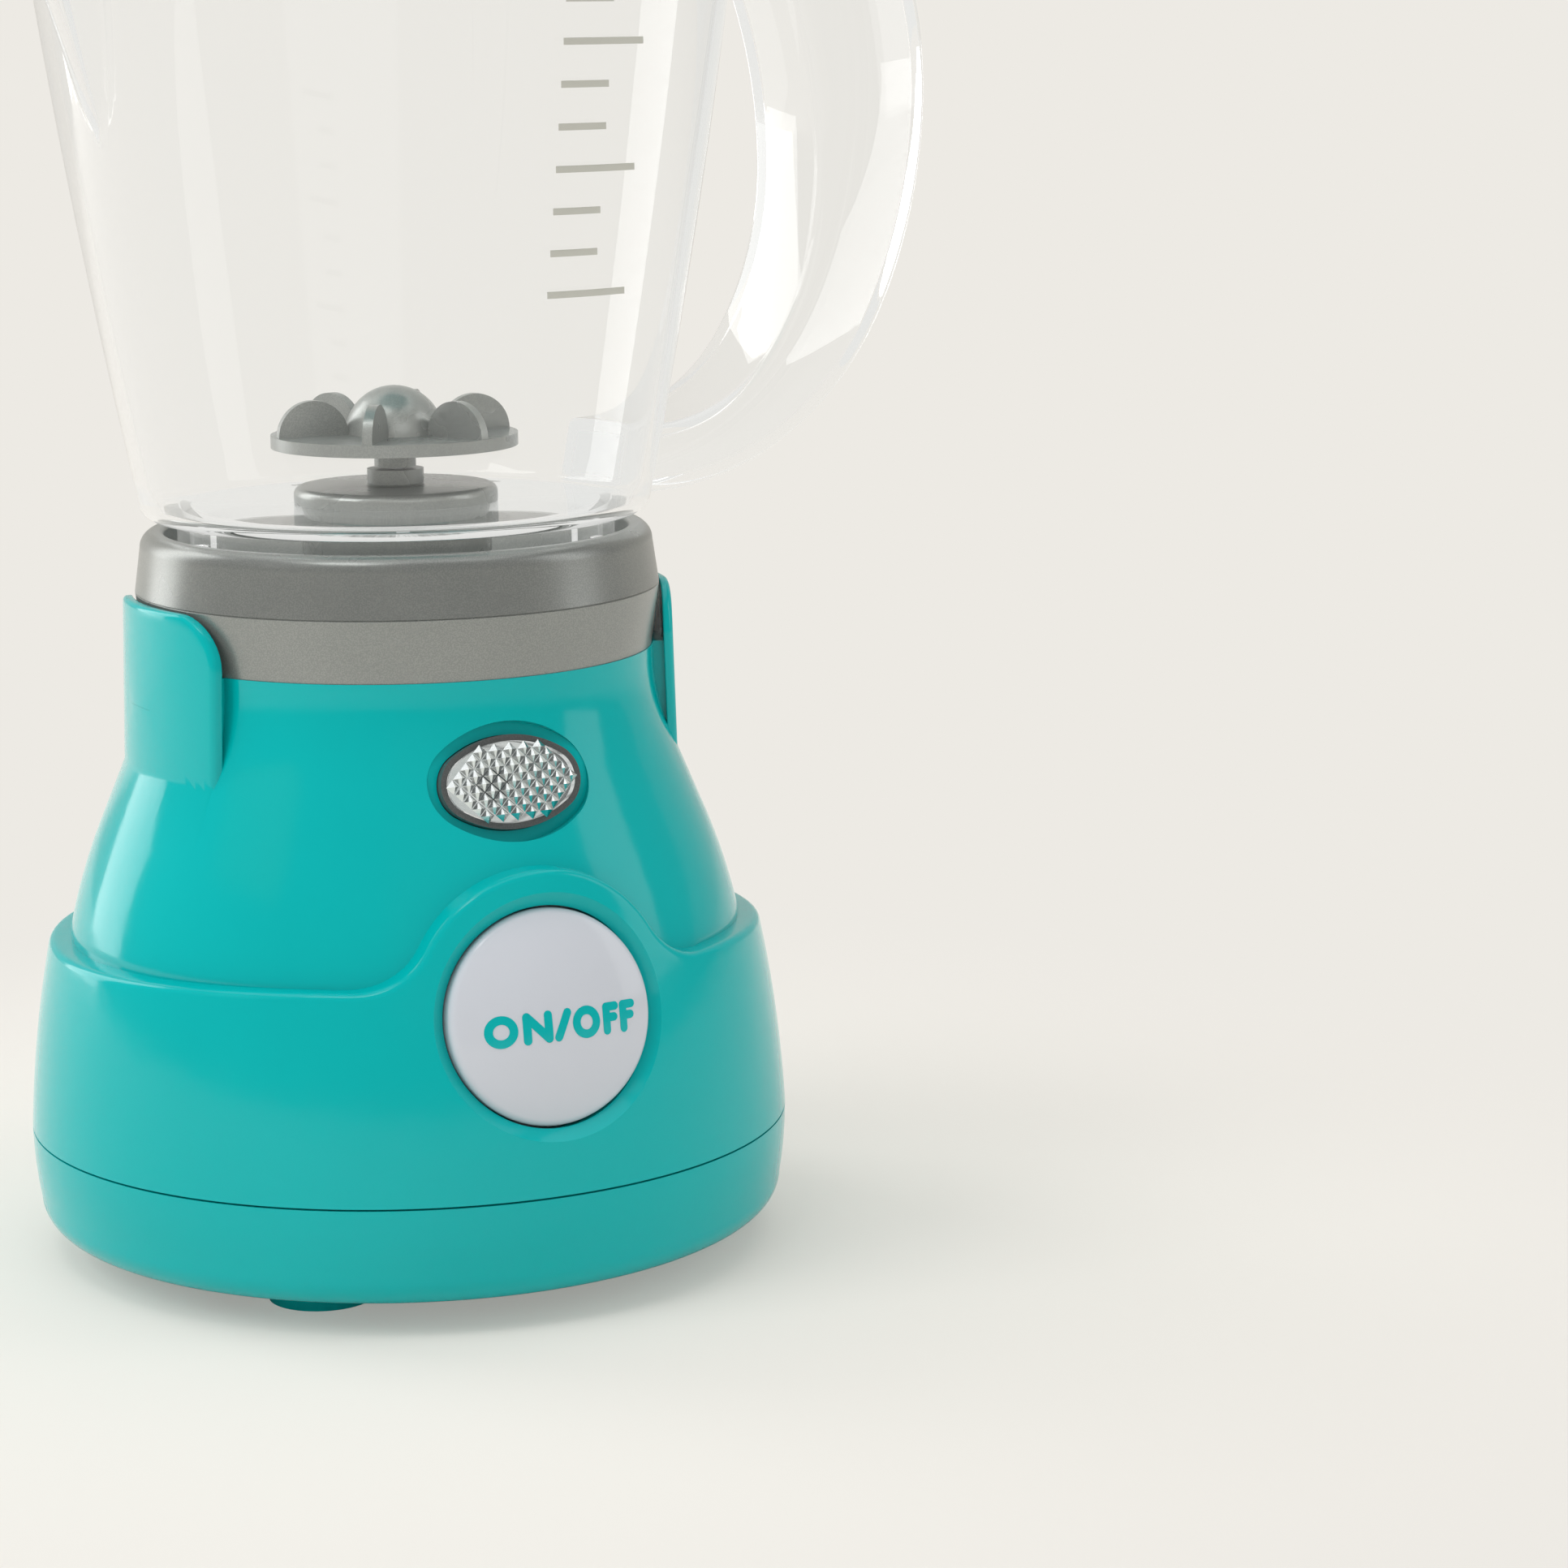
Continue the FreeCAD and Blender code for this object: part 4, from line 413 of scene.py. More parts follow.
def bow(start, end, radius, steps=16):
    """Points of an arc from start up to, but without, its end."""
    start, end = Vector(start), Vector(end)
    chord = end - start
    half = chord.length / 2
    rise = math.sqrt(max(radius * radius - half * half, 0.0))
    centre = (start + end) / 2 + Vector((-chord.y, chord.x)).normalized() * rise
    first = math.atan2(start.y - centre.y, start.x - centre.x)
    sweep = 2 * math.asin(min(1.0, half / radius))
    return [
        (centre.x + radius * math.cos(first + sweep * step / steps),
         centre.y + radius * math.sin(first + sweep * step / steps))
        for step in range(steps)
    ]


def lathe(outline, steps=ROUND_STEPS):
    """A closed mesh of a closed outline of (radius, level) turned round the upright axis."""
    shape = bmesh.new()
    rings = []
    for radius, level in outline:
        count = 1 if radius < 1e-6 else steps
        angles = [2 * math.pi * step / steps for step in range(count)]
        rings.append([shape.verts.new((radius * math.cos(angle), radius * math.sin(angle), level))
                      for angle in angles])
    for ring, following in zip(rings, rings[1:] + rings[:1]):
        for step in range(steps if max(len(ring), len(following)) > 1 else 0):
            after = (step + 1) % steps
            corners = [ring[step % len(ring)], ring[after % len(ring)],
                       following[after % len(following)], following[step % len(following)]]
            shape.faces.new(list(dict.fromkeys(corners)))
    return shape


def loft(loops, ends=True, around=False):
    """A mesh through loops of equal point count. Its ends are filled, or it runs in a ring."""
    shape = bmesh.new()
    rows = [[shape.verts.new(point) for point in loop] for loop in loops]
    for row, following in zip(rows, rows[1:] + (rows[:1] if around else [])):
        for step in range(len(row)):
            after = (step + 1) % len(row)
            shape.faces.new((row[step], row[after], following[after], following[step]))
    if ends and not around:
        shape.faces.new(rows[0])
        shape.faces.new(rows[-1])
    return shape


def prism(outline, place, low, high):
    """An outline made thick between two heights and put in its place."""
    return loft([[place @ Vector((u, v, height)) for u, v in outline] for height in (low, high)])


def disc(radius, centre=(0.0, 0.0), steps=96):
    """The outline of a circle."""
    angles = [2 * math.pi * step / steps for step in range(steps)]
    return [(centre[0] + radius * math.cos(a), centre[1] + radius * math.sin(a)) for a in angles]


def oval(half_width, half_height, end, steps=128):
    """An oval of four arcs. Each point is found from the way that the edge faces there."""
    reach = half_width - end
    bend = (reach ** 2 + half_height ** 2 - end ** 2) / (2 * (half_height - end))
    limit = math.atan2(bend - half_height, reach)
    points = []
    for step in range(steps):
        angle = 2 * math.pi * step / steps
        across, along = math.cos(angle), math.sin(angle)
        if math.asin(min(1.0, abs(along))) <= limit:
            points.append((math.copysign(reach, across) + end * across, end * along))
        else:
            points.append((bend * across, bend * along - math.copysign(bend - half_height, along)))
    return points


print("outline, lathe, loft and oval ready")

# %% [markdown]
# ## From shapes to pieces
# A shape becomes an object in metres, with its faces turned outwards. Carving is a boolean
# with the exact solver. It is how a mould maker thinks too: what the mould leaves open is
# joined on, and what its pins fill is cut away.

# %% Pieces and carving
WELD = 1e-4


def to_piece(shape, name):
    """Turns a shape in millimetres into an object in metres, with its faces outwards."""
    bmesh.ops.remove_doubles(shape, verts=shape.verts, dist=WELD)
    bmesh.ops.recalc_face_normals(shape, faces=shape.faces)
    bmesh.ops.scale(shape, vec=(MM, MM, MM), verts=shape.verts)
    mesh = bpy.data.meshes.new(name)
    shape.to_mesh(mesh)
    shape.free()
    return new_object(name, mesh)


def carve(piece, shape, how="DIFFERENCE"):
    """Cuts a shape from a piece, or joins it on."""
    tool = to_piece(shape, "tool") if isinstance(shape, bmesh.types.BMesh) else shape
    cut = piece.modifiers.new("carve", "BOOLEAN")
    cut.operation = how
    cut.solver = "EXACT"
    cut.object = tool
    ready = piece.evaluated_get(bpy.context.evaluated_depsgraph_get())
    mesh = bpy.data.meshes.new_from_object(ready)
    piece.modifiers.clear()
    piece.data = mesh
    bpy.data.objects.remove(tool)
    return piece


def hand_over(piece, body, slot, material, *stands_for, sharp=SHARP):
    """Gives a finished piece its material, its body and the pieces of the frame it stands for."""
    finish_mesh(piece.data, material, sharp)
    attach(piece, body)
    if stands_for:
        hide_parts(*stands_for)
    size = [round(value / MM, 1) for value in piece.dimensions]
    print(piece.name, "faces:", len(piece.data.polygons), "mm:", size)
    return piece


print("pieces and carving ready")

# %% [markdown]
# ## The skirt and its wavy ledge
# The skirt's top edge falls gently to the sides. In front it swells into a crest that is
# concentric with the button. The crest is the same all the way in, as if a cutter had passed
# over it. So every upright slice of the skirt has the same recipe: up the bulging side, round
# a small edge, then in along the ledge, whose height depends on how far to the side the point
# lies. Slices all round the axis then make a clean grid of faces.

# %% Skirt
SKIRT_LOW = 20.3
SKIRT_FOOT = (59.1, SKIRT_LOW)
SKIRT_PEAK = (50.05, 69.5)
SKIRT_BEND = 190.0
SKIRT_INSIDE = 44.0
LEDGE = 51.2
LEDGE_SIDE = 49.8
EDGE_ROUND = 1.0
BUTTON_LEVEL = 46.3
CREST = 20.9
SWEEP = 12.0
WALL_ROWS = 24
EDGE_SHARES = (0.12, 0.25, 0.38, 0.5, 0.62, 0.75, 0.88)
LEDGE_ROWS = 10
PROBE = 0.2
CREST_START = math.sqrt((CREST + SWEEP) ** 2 - (LEDGE - BUTTON_LEVEL + SWEEP) ** 2)
CREST_MEET = CREST_START * CREST / (CREST + SWEEP)


def bend_centre(start, end, radius):
    """Centre of an arc that turns left from start to end."""
    start, end = Vector(start), Vector(end)
    chord = end - start
    rise = math.sqrt(radius * radius - chord.length_squared / 4)
    return (start + end) / 2 + Vector((-chord.y, chord.x)).normalized() * rise


SKIRT_CENTRE = bend_centre(SKIRT_FOOT, SKIRT_PEAK, SKIRT_BEND)


def skirt_radius(level):
    """Radius of the skirt's side at a level."""
    return SKIRT_CENTRE.x + math.sqrt(SKIRT_BEND ** 2 - (level - SKIRT_CENTRE.y) ** 2)


FALL_RUN = skirt_radius(LEDGE_SIDE) - CREST_START
FALL_BEND = (FALL_RUN ** 2 + (LEDGE - LEDGE_SIDE) ** 2) / (2 * (LEDGE - LEDGE_SIDE))


def ledge_level(side):
    """Height of the front ledge at a distance to the side."""
    side = abs(side)
    if side >= CREST_START:
        run = min(side - CREST_START, FALL_RUN)
        return LEDGE - FALL_BEND + math.sqrt(FALL_BEND ** 2 - run ** 2)
    if side >= CREST_MEET:
        return LEDGE + SWEEP - math.sqrt(SWEEP ** 2 - (CREST_START - side) ** 2)
    return BUTTON_LEVEL + math.sqrt(CREST ** 2 - side ** 2)


def skirt_slice(angle):
    """One upright slice of the skirt. The angle is counted from the front."""
    across = math.sin(angle)
    front = min(1.0, max(0.0, 0.5 + 4 * math.cos(angle)))

    def ledge_at(radius):
        return LEDGE_SIDE + front * (ledge_level(radius * across) - LEDGE_SIDE)

    edge = LEDGE
    for _ in range(12):
        edge = ledge_at(skirt_radius(edge))
    rim = skirt_radius(edge)
    slope = (ledge_at(rim) - ledge_at(rim - PROBE)) / PROBE
    sides = [ledge_level(rim * across + way * PROBE / 2) for way in (1, -1)]
    side_slope = abs(sides[0] - sides[1]) / PROBE * front
    drop = EDGE_ROUND * min(2.0, math.sqrt(1 + side_slope ** 2))
    wall_top = edge - drop
    points = [(SKIRT_INSIDE, SKIRT_LOW)]
    for step in range(WALL_ROWS + 1):
        level = SKIRT_LOW + (wall_top - SKIRT_LOW) * step / WALL_ROWS
        points.append((skirt_radius(level), level))
    start = Vector(points[-1])
    corner = Vector((rim, edge))
    finish = Vector((rim - EDGE_ROUND, edge - slope * EDGE_ROUND))
    for share in EDGE_SHARES:
        point = start.lerp(corner, share).lerp(corner.lerp(finish, share), share)
        points.append((point.x, point.y))
    inner = rim - EDGE_ROUND
    for step in range(LEDGE_ROWS + 1):
        radius = inner + (SKIRT_INSIDE - inner) * step / LEDGE_ROWS
        points.append((radius, ledge_at(radius)))
    return [(radius * across, -radius * math.cos(angle), level) for radius, level in points]


FINE_ANGLE = math.radians(48)
FINE_STEPS = 280
COARSE_STEPS = 220
COARSE_ANGLE = 2 * math.pi - 2 * FINE_ANGLE
slices = [skirt_slice(-FINE_ANGLE + 2 * FINE_ANGLE * step / FINE_STEPS)
          for step in range(FINE_STEPS)]
slices += [skirt_slice(FINE_ANGLE + COARSE_ANGLE * step / COARSE_STEPS)
           for step in range(COARSE_STEPS)]
housing = to_piece(loft(slices, around=True), "housing")
print("skirt faces:", len(housing.data.polygons))

# %% [markdown]
# ## The bell and the two ears
# The bell is turned: it bulges above the ledge, runs in a straight cone past the lamp and
# flares out under the deck. An ear is a rounded plate that follows the collar's curve. It is
# drawn as loops, one inside the other, over its outer face, round its edge and back over its
# inner face. Each point of a loop is then pushed out until it lies on the ear's round.

# %% Bell and ears
DECK = 93.8
BELL_FOOT = (52.0, LEDGE)
CONE = (46.65, 68.0)
FLARE = (42.04, 79.05)
NECK = (39.2, 92.0)
EAR_TOP = 103.0
EAR_LOW = 72.3
EAR_HALF = 19.2
EAR_CORNER = 8.0
EAR_INSIDE = 40.65
EAR_OUTSIDE = 42.15
EAR_DRAFT = 0.8
EAR_ROUND = 0.7
EAR_BACK_ROUND = 0.3
EAR_STEPS = 12
EAR_INSETS = (15.34, 12.0, 9.0, 6.0, 3.5, 1.8)
BELL_BEND = 94.0
FLARE_BEND = 31.0
BELL_FLOOR = SKIRT_LOW + 0.2
ROOT = ((37.8, 76.0), (41.2, 76.0), (41.2, DECK), (37.8, DECK))
ROOT_ANGLE = 26


def bell_side(inset):
    """The bell's side from the ledge to under the deck, moved in by a wall."""
    foot, cone, flare, neck = [
        (radius - inset, level) for radius, level in (BELL_FOOT, CONE, FLARE, NECK)]
    flare_arc = bow(neck, flare, FLARE_BEND + inset, 20)
    return bow(foot, cone, BELL_BEND - inset, 20) + [cone, flare] + flare_arc[:0:-1] + [neck]


def ear_loop(inset, sink):
    """One loop of an ear, moved in from its edge, at a depth below its outer face."""
    half = EAR_HALF - inset
    top = EAR_TOP - inset
    low = EAR_LOW + inset
    corner = max(EAR_CORNER - inset, 0.0)
    flat = half - corner
    steps = range(EAR_STEPS + 1)
    turns = [(math.cos(math.radians(9 * step)), math.sin(math.radians(9 * step)))
             for step in range(1, 10)]
    rows = [(-flat + 2 * flat * step / EAR_STEPS, low) for step in steps]
    rows += [(half, low + (top - corner - low) * step / EAR_STEPS) for step in steps]
    rows += [(flat + corner * near, top - corner + corner * far) for near, far in turns]
    rows += [(flat - 2 * flat * step / EAR_STEPS, top) for step in steps]
    rows += [(-flat - corner * far, top - corner + corner * near) for near, far in turns]
    rows += [(-half, top - corner + (low - top + corner) * step / EAR_STEPS) for step in steps]
    loop = []
    for side, level in rows:
        radius = EAR_OUTSIDE + EAR_DRAFT * (EAR_TOP - level) / (EAR_TOP - EAR_LOW) - sink
        loop.append((math.sqrt(radius ** 2 - side ** 2), side, level))
    return loop


def ear_shape(way):
    """A whole ear on the left or on the right."""
    thick = EAR_OUTSIDE - EAR_INSIDE
    turns = [(1 - math.sin(math.radians(15 * step)), 1 - math.cos(math.radians(15 * step)))
             for step in range(7)]
    loops = [ear_loop(inset, 0.0) for inset in EAR_INSETS]
    loops += [ear_loop(EAR_ROUND * inward, EAR_ROUND * sunk) for inward, sunk in turns]
    loops += [ear_loop(EAR_BACK_ROUND * sunk, thick - EAR_BACK_ROUND * inward)
              for inward, sunk in turns]
    loops += [ear_loop(inset, thick) for inset in reversed(EAR_INSETS)]
    return loft([[(x * way, y, z) for x, y, z in loop] for loop in loops], ends=False)


def ear_root(way):
    """The plastic that fills the gap between an ear and the bell, up to the deck."""
    loops = []
    for step in range(-ROOT_ANGLE, ROOT_ANGLE + 1):
        angle = math.radians(step)
        loops.append([(way * radius * math.cos(angle), radius * math.sin(angle), level)
                      for radius, level in ROOT])
    return loft(loops)


bell = lathe([(0, BELL_FLOOR), (BELL_FOOT[0], BELL_FLOOR)] + bell_side(0)
             + [(NECK[0], DECK), (0, DECK)])
carve(housing, bell, "UNION")
for way in (1, -1):
    carve(housing, ear_root(way), "UNION")
    carve(housing, ear_shape(way), "UNION")
print("housing with its ears, faces:", len(housing.data.polygons))

# %% [markdown]
# ## The button's hole and its bevelled ring
# The hole is square to a tilted axis, while the skirt is round, so the bevel's outer edge
# waves in and out. The cutter is made to fit: at each angle round the hole it looks up how
# deep the skirt's surface lies under the button's plane, and starts the bevel there.

# %% Holes for the button and the lamp
BUTTON_TILT = math.radians(10)
BUTTON_REACH = skirt_radius(BUTTON_LEVEL)
HOLE = 16.3
BEVEL = 1.9
RIM_DEPTH = 8.0
BRACKET_DEPTH = 13.4
LENS_TILT = math.radians(14)
LENS_REACH = 41.29
LENS_LEVEL = 78.8
RECESS = (12.9, 9.0, 7.0)
RECESS_DEPTH = 1.5
LENS_HOLE = (11.3, 7.1, 5.3)
LENS_SEAT = 4.8
FLANGE_ROOM = 1.4
FREE = 12.0
SHAFT_HOLE = 5.0
UPRIGHT = Matrix.Identity(4)


def facing(reach, level, tilt):
    """The place of something that faces the front and leans back a little."""
    return Matrix.Translation((0, -reach, level)) @ Matrix.Rotation(math.radians(90) - tilt, 4, "X")


BUTTON_PLACE = facing(BUTTON_REACH, BUTTON_LEVEL, BUTTON_TILT)
LENS_PLACE = facing(LENS_REACH, LENS_LEVEL, LENS_TILT)


def skirt_depth(across, along):
    """Height of the skirt over the button's plane, measured along the button's axis."""
    low, high = -12.0, 4.0
    for _ in range(30):
        middle = (low + high) / 2
        point = BUTTON_PLACE @ Vector((across, along, middle))
        outside = math.hypot(point.x, point.y) > skirt_radius(point.z)
        low, high = (low, middle) if outside else (middle, high)
    return (low + high) / 2


def hole_shape(steps=160):
    """A cutter that is the hole, the bevel and some free space over them."""
    loops = [[] for _ in range(5)]
    for u, v in disc(1.0, steps=steps):
        at_hole = skirt_depth(u * HOLE, v * HOLE)
        at_edge = skirt_depth(u * (HOLE + BEVEL), v * (HOLE + BEVEL))
        stations = ((HOLE, -BRACKET_DEPTH), (HOLE, at_hole - BEVEL), (HOLE + BEVEL, at_edge),
                    (HOLE + BEVEL + 2, at_edge + 2), (HOLE, FREE))
        for loop, (radius, height) in zip(loops, stations):
            loop.append(BUTTON_PLACE @ Vector((u * radius, v * radius, height)))
    return loft(loops)


carve(housing, hole_shape())
flange_room = disc(HOLE + FLANGE_ROOM)
carve(housing, prism(flange_room, BUTTON_PLACE, -BRACKET_DEPTH - 0.02, -RIM_DEPTH))
carve(housing, prism(oval(*RECESS), LENS_PLACE, -RECESS_DEPTH, FREE + 2))
lens_hole = oval(*LENS_HOLE)
carve(housing, prism(lens_hole, LENS_PLACE, -RECESS_DEPTH - LENS_SEAT, -RECESS_DEPTH + 0.5))
carve(housing, prism(disc(SHAFT_HOLE), UPRIGHT, DECK - 6, DECK + 2))
print("button reach:", round(BUTTON_REACH, 2), "mm")

# %% [markdown]
# ## The hollow
# The space inside is a turned shape too. What stays standing in it, such as the button's well,
# the lamp's cup and the posts for the screws, is cut from the hollow first. The hollow is then
# cut from the housing, so nothing of all this shows outside.

# %% Hollow
WALL = 2.4
HOLLOW_LOW = 17.6
HOLLOW_TOP = LEDGE_SIDE - WALL
DECK_LOW = 91.6
POST_TOP = 99.0
BUTTON_WELL = 18.3
BOSS = 3.0
BOSS_REACH = 21.5
INWARD = 20.0
CUP = tuple(size + 2 for size in RECESS)
POSTS = [(47.0, angle, 3.4, 22.7) for angle in (30, 150, 210, 330)]
POSTS += [(27.0, angle, 3.2, 80.5) for angle in (45, 135, 225, 315)]

inner_foot = (SKIRT_FOOT[0] - WALL, SKIRT_LOW)
inner_peak = (skirt_radius(HOLLOW_TOP) - WALL, HOLLOW_TOP)
hollow = to_piece(lathe(
    [(0, HOLLOW_LOW), (inner_foot[0], HOLLOW_LOW)]
    + bow(inner_foot, inner_peak, SKIRT_BEND - WALL)
    + [inner_peak, (BELL_FOOT[0] - WALL, HOLLOW_TOP)]
    + bell_side(WALL)[:-1] + [(NECK[0] - WALL, DECK_LOW), (0, DECK_LOW)]), "hollow")
for circle, angle, radius, low in POSTS:
    angle = math.radians(angle)
    middle = (circle * math.cos(angle), circle * math.sin(angle))
    carve(hollow, prism(disc(radius, middle, 32), UPRIGHT, low, POST_TOP))
carve(hollow, prism(disc(BUTTON_WELL), BUTTON_PLACE, -RIM_DEPTH, INWARD))
for side in (-BOSS_REACH, BOSS_REACH):
    carve(hollow, prism(disc(BOSS, (side, 0), 32), BUTTON_PLACE, -BRACKET_DEPTH, INWARD))
carve(hollow, prism(oval(*CUP), LENS_PLACE, -RECESS_DEPTH - 2, INWARD))
carve(housing, hollow)
hand_over(housing, "base", "teal_plastic", teal, "base_housing")

# %% [markdown]
# ## The collar
# The collar is a turned barrel. Its widest line is where the two halves of the mould met, so a
# hair-fine groove runs round it there. Below the line the side leans in and looks darker.

# %% Collar
BELLY = 103.3
BELLY_RADIUS = 40.27
SEAM_RADIUS = 40.12
SEAM_HALF = 0.14
COLLAR_FOOT = (39.0, DECK)
COLLAR_TOP = 112.5
SHOULDER, SHOULDER_END = (39.35, 110.0), (37.4, COLLAR_TOP)
LIP_START, LIP = (36.3, COLLAR_TOP), (35.6, 111.8)
SEAT = (30.0, 102.2)
WELL = (16.0, 96.3)
collar = to_piece(lathe(
    [(WELL[0], DECK), COLLAR_FOOT, (BELLY_RADIUS, BELLY - SEAM_HALF), (SEAM_RADIUS, BELLY),
     (BELLY_RADIUS, BELLY + SEAM_HALF)]
    + bow(SHOULDER, SHOULDER_END, 2.6, 12) + [SHOULDER_END, LIP_START]
    + bow(LIP_START, LIP, 0.8, 6)
    + [LIP, (LIP[0], SEAT[1]), SEAT, (SEAT[0], WELL[1]), WELL]), "collar_barrel")
hand_over(collar, "base", "grey_plastic", grey, "collar", sharp=math.radians(12))

# %% [markdown]
# ## The button's cap
# The cap is turned round its own tilted axis: a shallow dome with a soft edge, a skirt with a
# flange that keeps it in its hole, and a stem that reaches the switch.

# %% Button cap
CAP_RADIUS = 16.0
CAP_CROWN = 0.8
CAP_DOME = 3.0
STEM, STEM_END = 3.2, -12.2
CAP_INSIDE, CAP_ROOF, CAP_LOW = 14.2, -4.0, -9.5
FLANGE, FLANGE_TOP = 17.4, -8.3
DOME_RINGS = (15.0, 14.0, 12.5, 11.0, 9.0, 7.0, 5.0, 3.0, 1.0, 0.0)
CAP_SPHERE = (CAP_RADIUS ** 2 + CAP_DOME ** 2) / (2 * CAP_DOME)


def dome_height(distance):
    """Height of the cap's dome at a distance from its middle."""
    return CAP_CROWN - CAP_SPHERE + math.sqrt(CAP_SPHERE ** 2 - distance ** 2)


edge_start, edge_end = (CAP_RADIUS, -3.3), (15.0, dome_height(15.0))
cap_shape = lathe(
    [(0, STEM_END), (STEM, STEM_END), (STEM, CAP_ROOF), (CAP_INSIDE, CAP_ROOF),
     (CAP_INSIDE, CAP_LOW), (FLANGE, CAP_LOW), (FLANGE, FLANGE_TOP), (CAP_RADIUS, FLANGE_TOP)]
    + bow(edge_start, edge_end, 1.5, 10)
    + [(distance, dome_height(distance)) for distance in DOME_RINGS])
bmesh.ops.transform(cap_shape, matrix=BUTTON_PLACE, verts=cap_shape.verts)
hand_over(to_piece(cap_shape, "button_dome"), "button", "white_plastic", white, "button_cap")

# %% [markdown]
# ## The return spring
# The spring behind the cap gets a mesh of its own. On the real toy it gets shorter by the
# button's travel when the cap is pressed, while its back end stays on the bracket.

# %% Return spring
button_spring = bpy.data.objects["button_spring_moulded"]
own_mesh(button_spring)

# %% [markdown]
# ## ON/OFF
# The words are printed with round pens. A straight stroke is a strip of short rows, each as
# wide as the pen is at that place, so that its ends come out round. A ring is a stroke that
# runs round. Every point is laid on the dome, which is why the strokes are cut in short rows.

# %% Printed words
PEN = 1.26
INK = 0.05
PRINT_SINK = 0.2


def on_dome(u, v, lift):
    """A point over the cap's dome."""
    return BUTTON_PLACE @ Vector((u, v, dome_height(math.hypot(u, v)) + lift))


def printed_row(u, v, side_u, side_v):
    """One row of a stroke: across its top from one side to the other and back under it."""
    spots = [(u + side_u * share, v + side_v * share) for share in (-1.0, 0.0, 1.0)]
    return [on_dome(*spot, INK) for spot in spots] + [
        on_dome(*spot, -PRINT_SINK) for spot in reversed(spots)]


def straight_stroke(start, end):
    """A straight stroke with round ends."""
    start, end = Vector(start), Vector(end)
    way = (end - start).normalized()
    length = (end - start).length
    half = PEN / 2
    round_end = [half * math.sin(math.radians(angle)) for angle in (85, 70, 50, 25)]
    places = [-share for share in round_end] + [length * step / 8 for step in range(9)]
    places += [length + share for share in reversed(round_end)]
    rows = []
    for place in places:
        over = max(-place, place - length, 0.0)
        wide = math.sqrt(half ** 2 - over ** 2)
        spot = start + way * place
        rows.append(printed_row(spot.x, spot.y, -way.y * wide, way.x * wide))
    return loft(rows)


def ring_stroke(centre, half_width, half_height):
    """The round stroke of a letter O."""
    return loft([
        printed_row(centre[0] + u * half_width, centre[1] + v * half_height,
                    u * PEN / 2, v * PEN / 2)
        for u, v in disc(1.0, steps=64)], around=True)


def joined(shapes):
    """One shape of several."""
    whole = bmesh.new()
    for shape in shapes:
        mesh = bpy.data.meshes.new("part")
        shape.to_mesh(mesh)
        shape.free()
        whole.from_mesh(mesh)
        bpy.data.meshes.remove(mesh)
    return whole


LOW_LINE, HIGH_LINE, MIDDLE_LINE = -2.85, 0.62, -0.95
strokes = [ring_stroke((-9.0, -1.15), 1.85, 1.75), ring_stroke((4.3, -1.15), 1.65, 1.75)]
strokes += [straight_stroke(start, end) for start, end in (
    ((-5.15, LOW_LINE), (-5.15, HIGH_LINE)),
    ((-5.15, HIGH_LINE), (-1.85, LOW_LINE)),
    ((-1.85, LOW_LINE), (-1.85, HIGH_LINE)),
    ((-0.35, LOW_LINE), (1.25, HIGH_LINE)),
    ((7.75, LOW_LINE), (7.75, HIGH_LINE)),
    ((7.75, HIGH_LINE), (9.3, HIGH_LINE)),
    ((7.75, MIDDLE_LINE), (9.05, MIDDLE_LINE)),
    ((10.75, LOW_LINE), (10.75, HIGH_LINE)),
    ((10.75, HIGH_LINE), (12.3, HIGH_LINE)),
    ((10.75, MIDDLE_LINE), (12.05, MIDDLE_LINE)),
)]
hand_over(to_piece(joined(strokes), "button_words"), "button", "teal_plastic", teal)
print("strokes:", len(strokes))

# %% [markdown]
# ## The lamp's facets
# The lamp's clear face is a field of small pyramids. One pyramid is a cone with four sides, and
# Geometry Nodes sets a copy on every point of a lattice. The lattice is staggered like a
# brick wall, keeps to the oval, and each point is lifted onto the lens's dome.

# %% Facet tree
FACET_STEP = 2.36
FACET_WIDTH = 2.2
FACET_HEIGHT = 0.85
LENS_CROWN = 1.0
LENS_BEND = 63.2
FIELD = (9.5, 5.5)
FACET_LIFT = 0.02


def socket_id(tree, name):
    """Identifier of a named input of a tree."""
    return next(item.identifier for item in tree.interface.items_tree if item.name == name)


def facet_tree(material):
    """A tree that sets a four-sided pyramid on every point."""
    tree = bpy.data.node_groups.new("facets", "GeometryNodeTree")
    for name, way, kind in (("Points", "INPUT", "Geometry"), ("Radius", "INPUT", "Float"),
                            ("Height", "INPUT", "Float"), ("Facets", "OUTPUT", "Geometry")):
        tree.interface.new_socket(name, in_out=way, socket_type="NodeSocket" + kind)
    start = tree.nodes.new("NodeGroupInput")
    cone = tree.nodes.new("GeometryNodeMeshCone")
    cone.inputs["Vertices"].default_value = 4
    copies = tree.nodes.new("GeometryNodeInstanceOnPoints")
    real = tree.nodes.new("GeometryNodeRealizeInstances")
    paint = tree.nodes.new("GeometryNodeSetMaterial")
    paint.inputs["Material"].default_value = material
    end = tree.nodes.new("NodeGroupOutput")
    for first, second in (
        (start.outputs["Points"], copies.inputs["Points"]),
        (start.outputs["Radius"], cone.inputs["Radius Bottom"]),
        (start.outputs["Height"], cone.inputs["Depth"]),
        (cone.outputs["Mesh"], copies.inputs["Instance"]),
        (copies.outputs["Instances"], real.inputs["Geometry"]),
        (real.outputs["Geometry"], paint.inputs["Geometry"]),
        (paint.outputs["Geometry"], end.inputs["Facets"]),
    ):
        tree.links.new(first, second)
    return tree


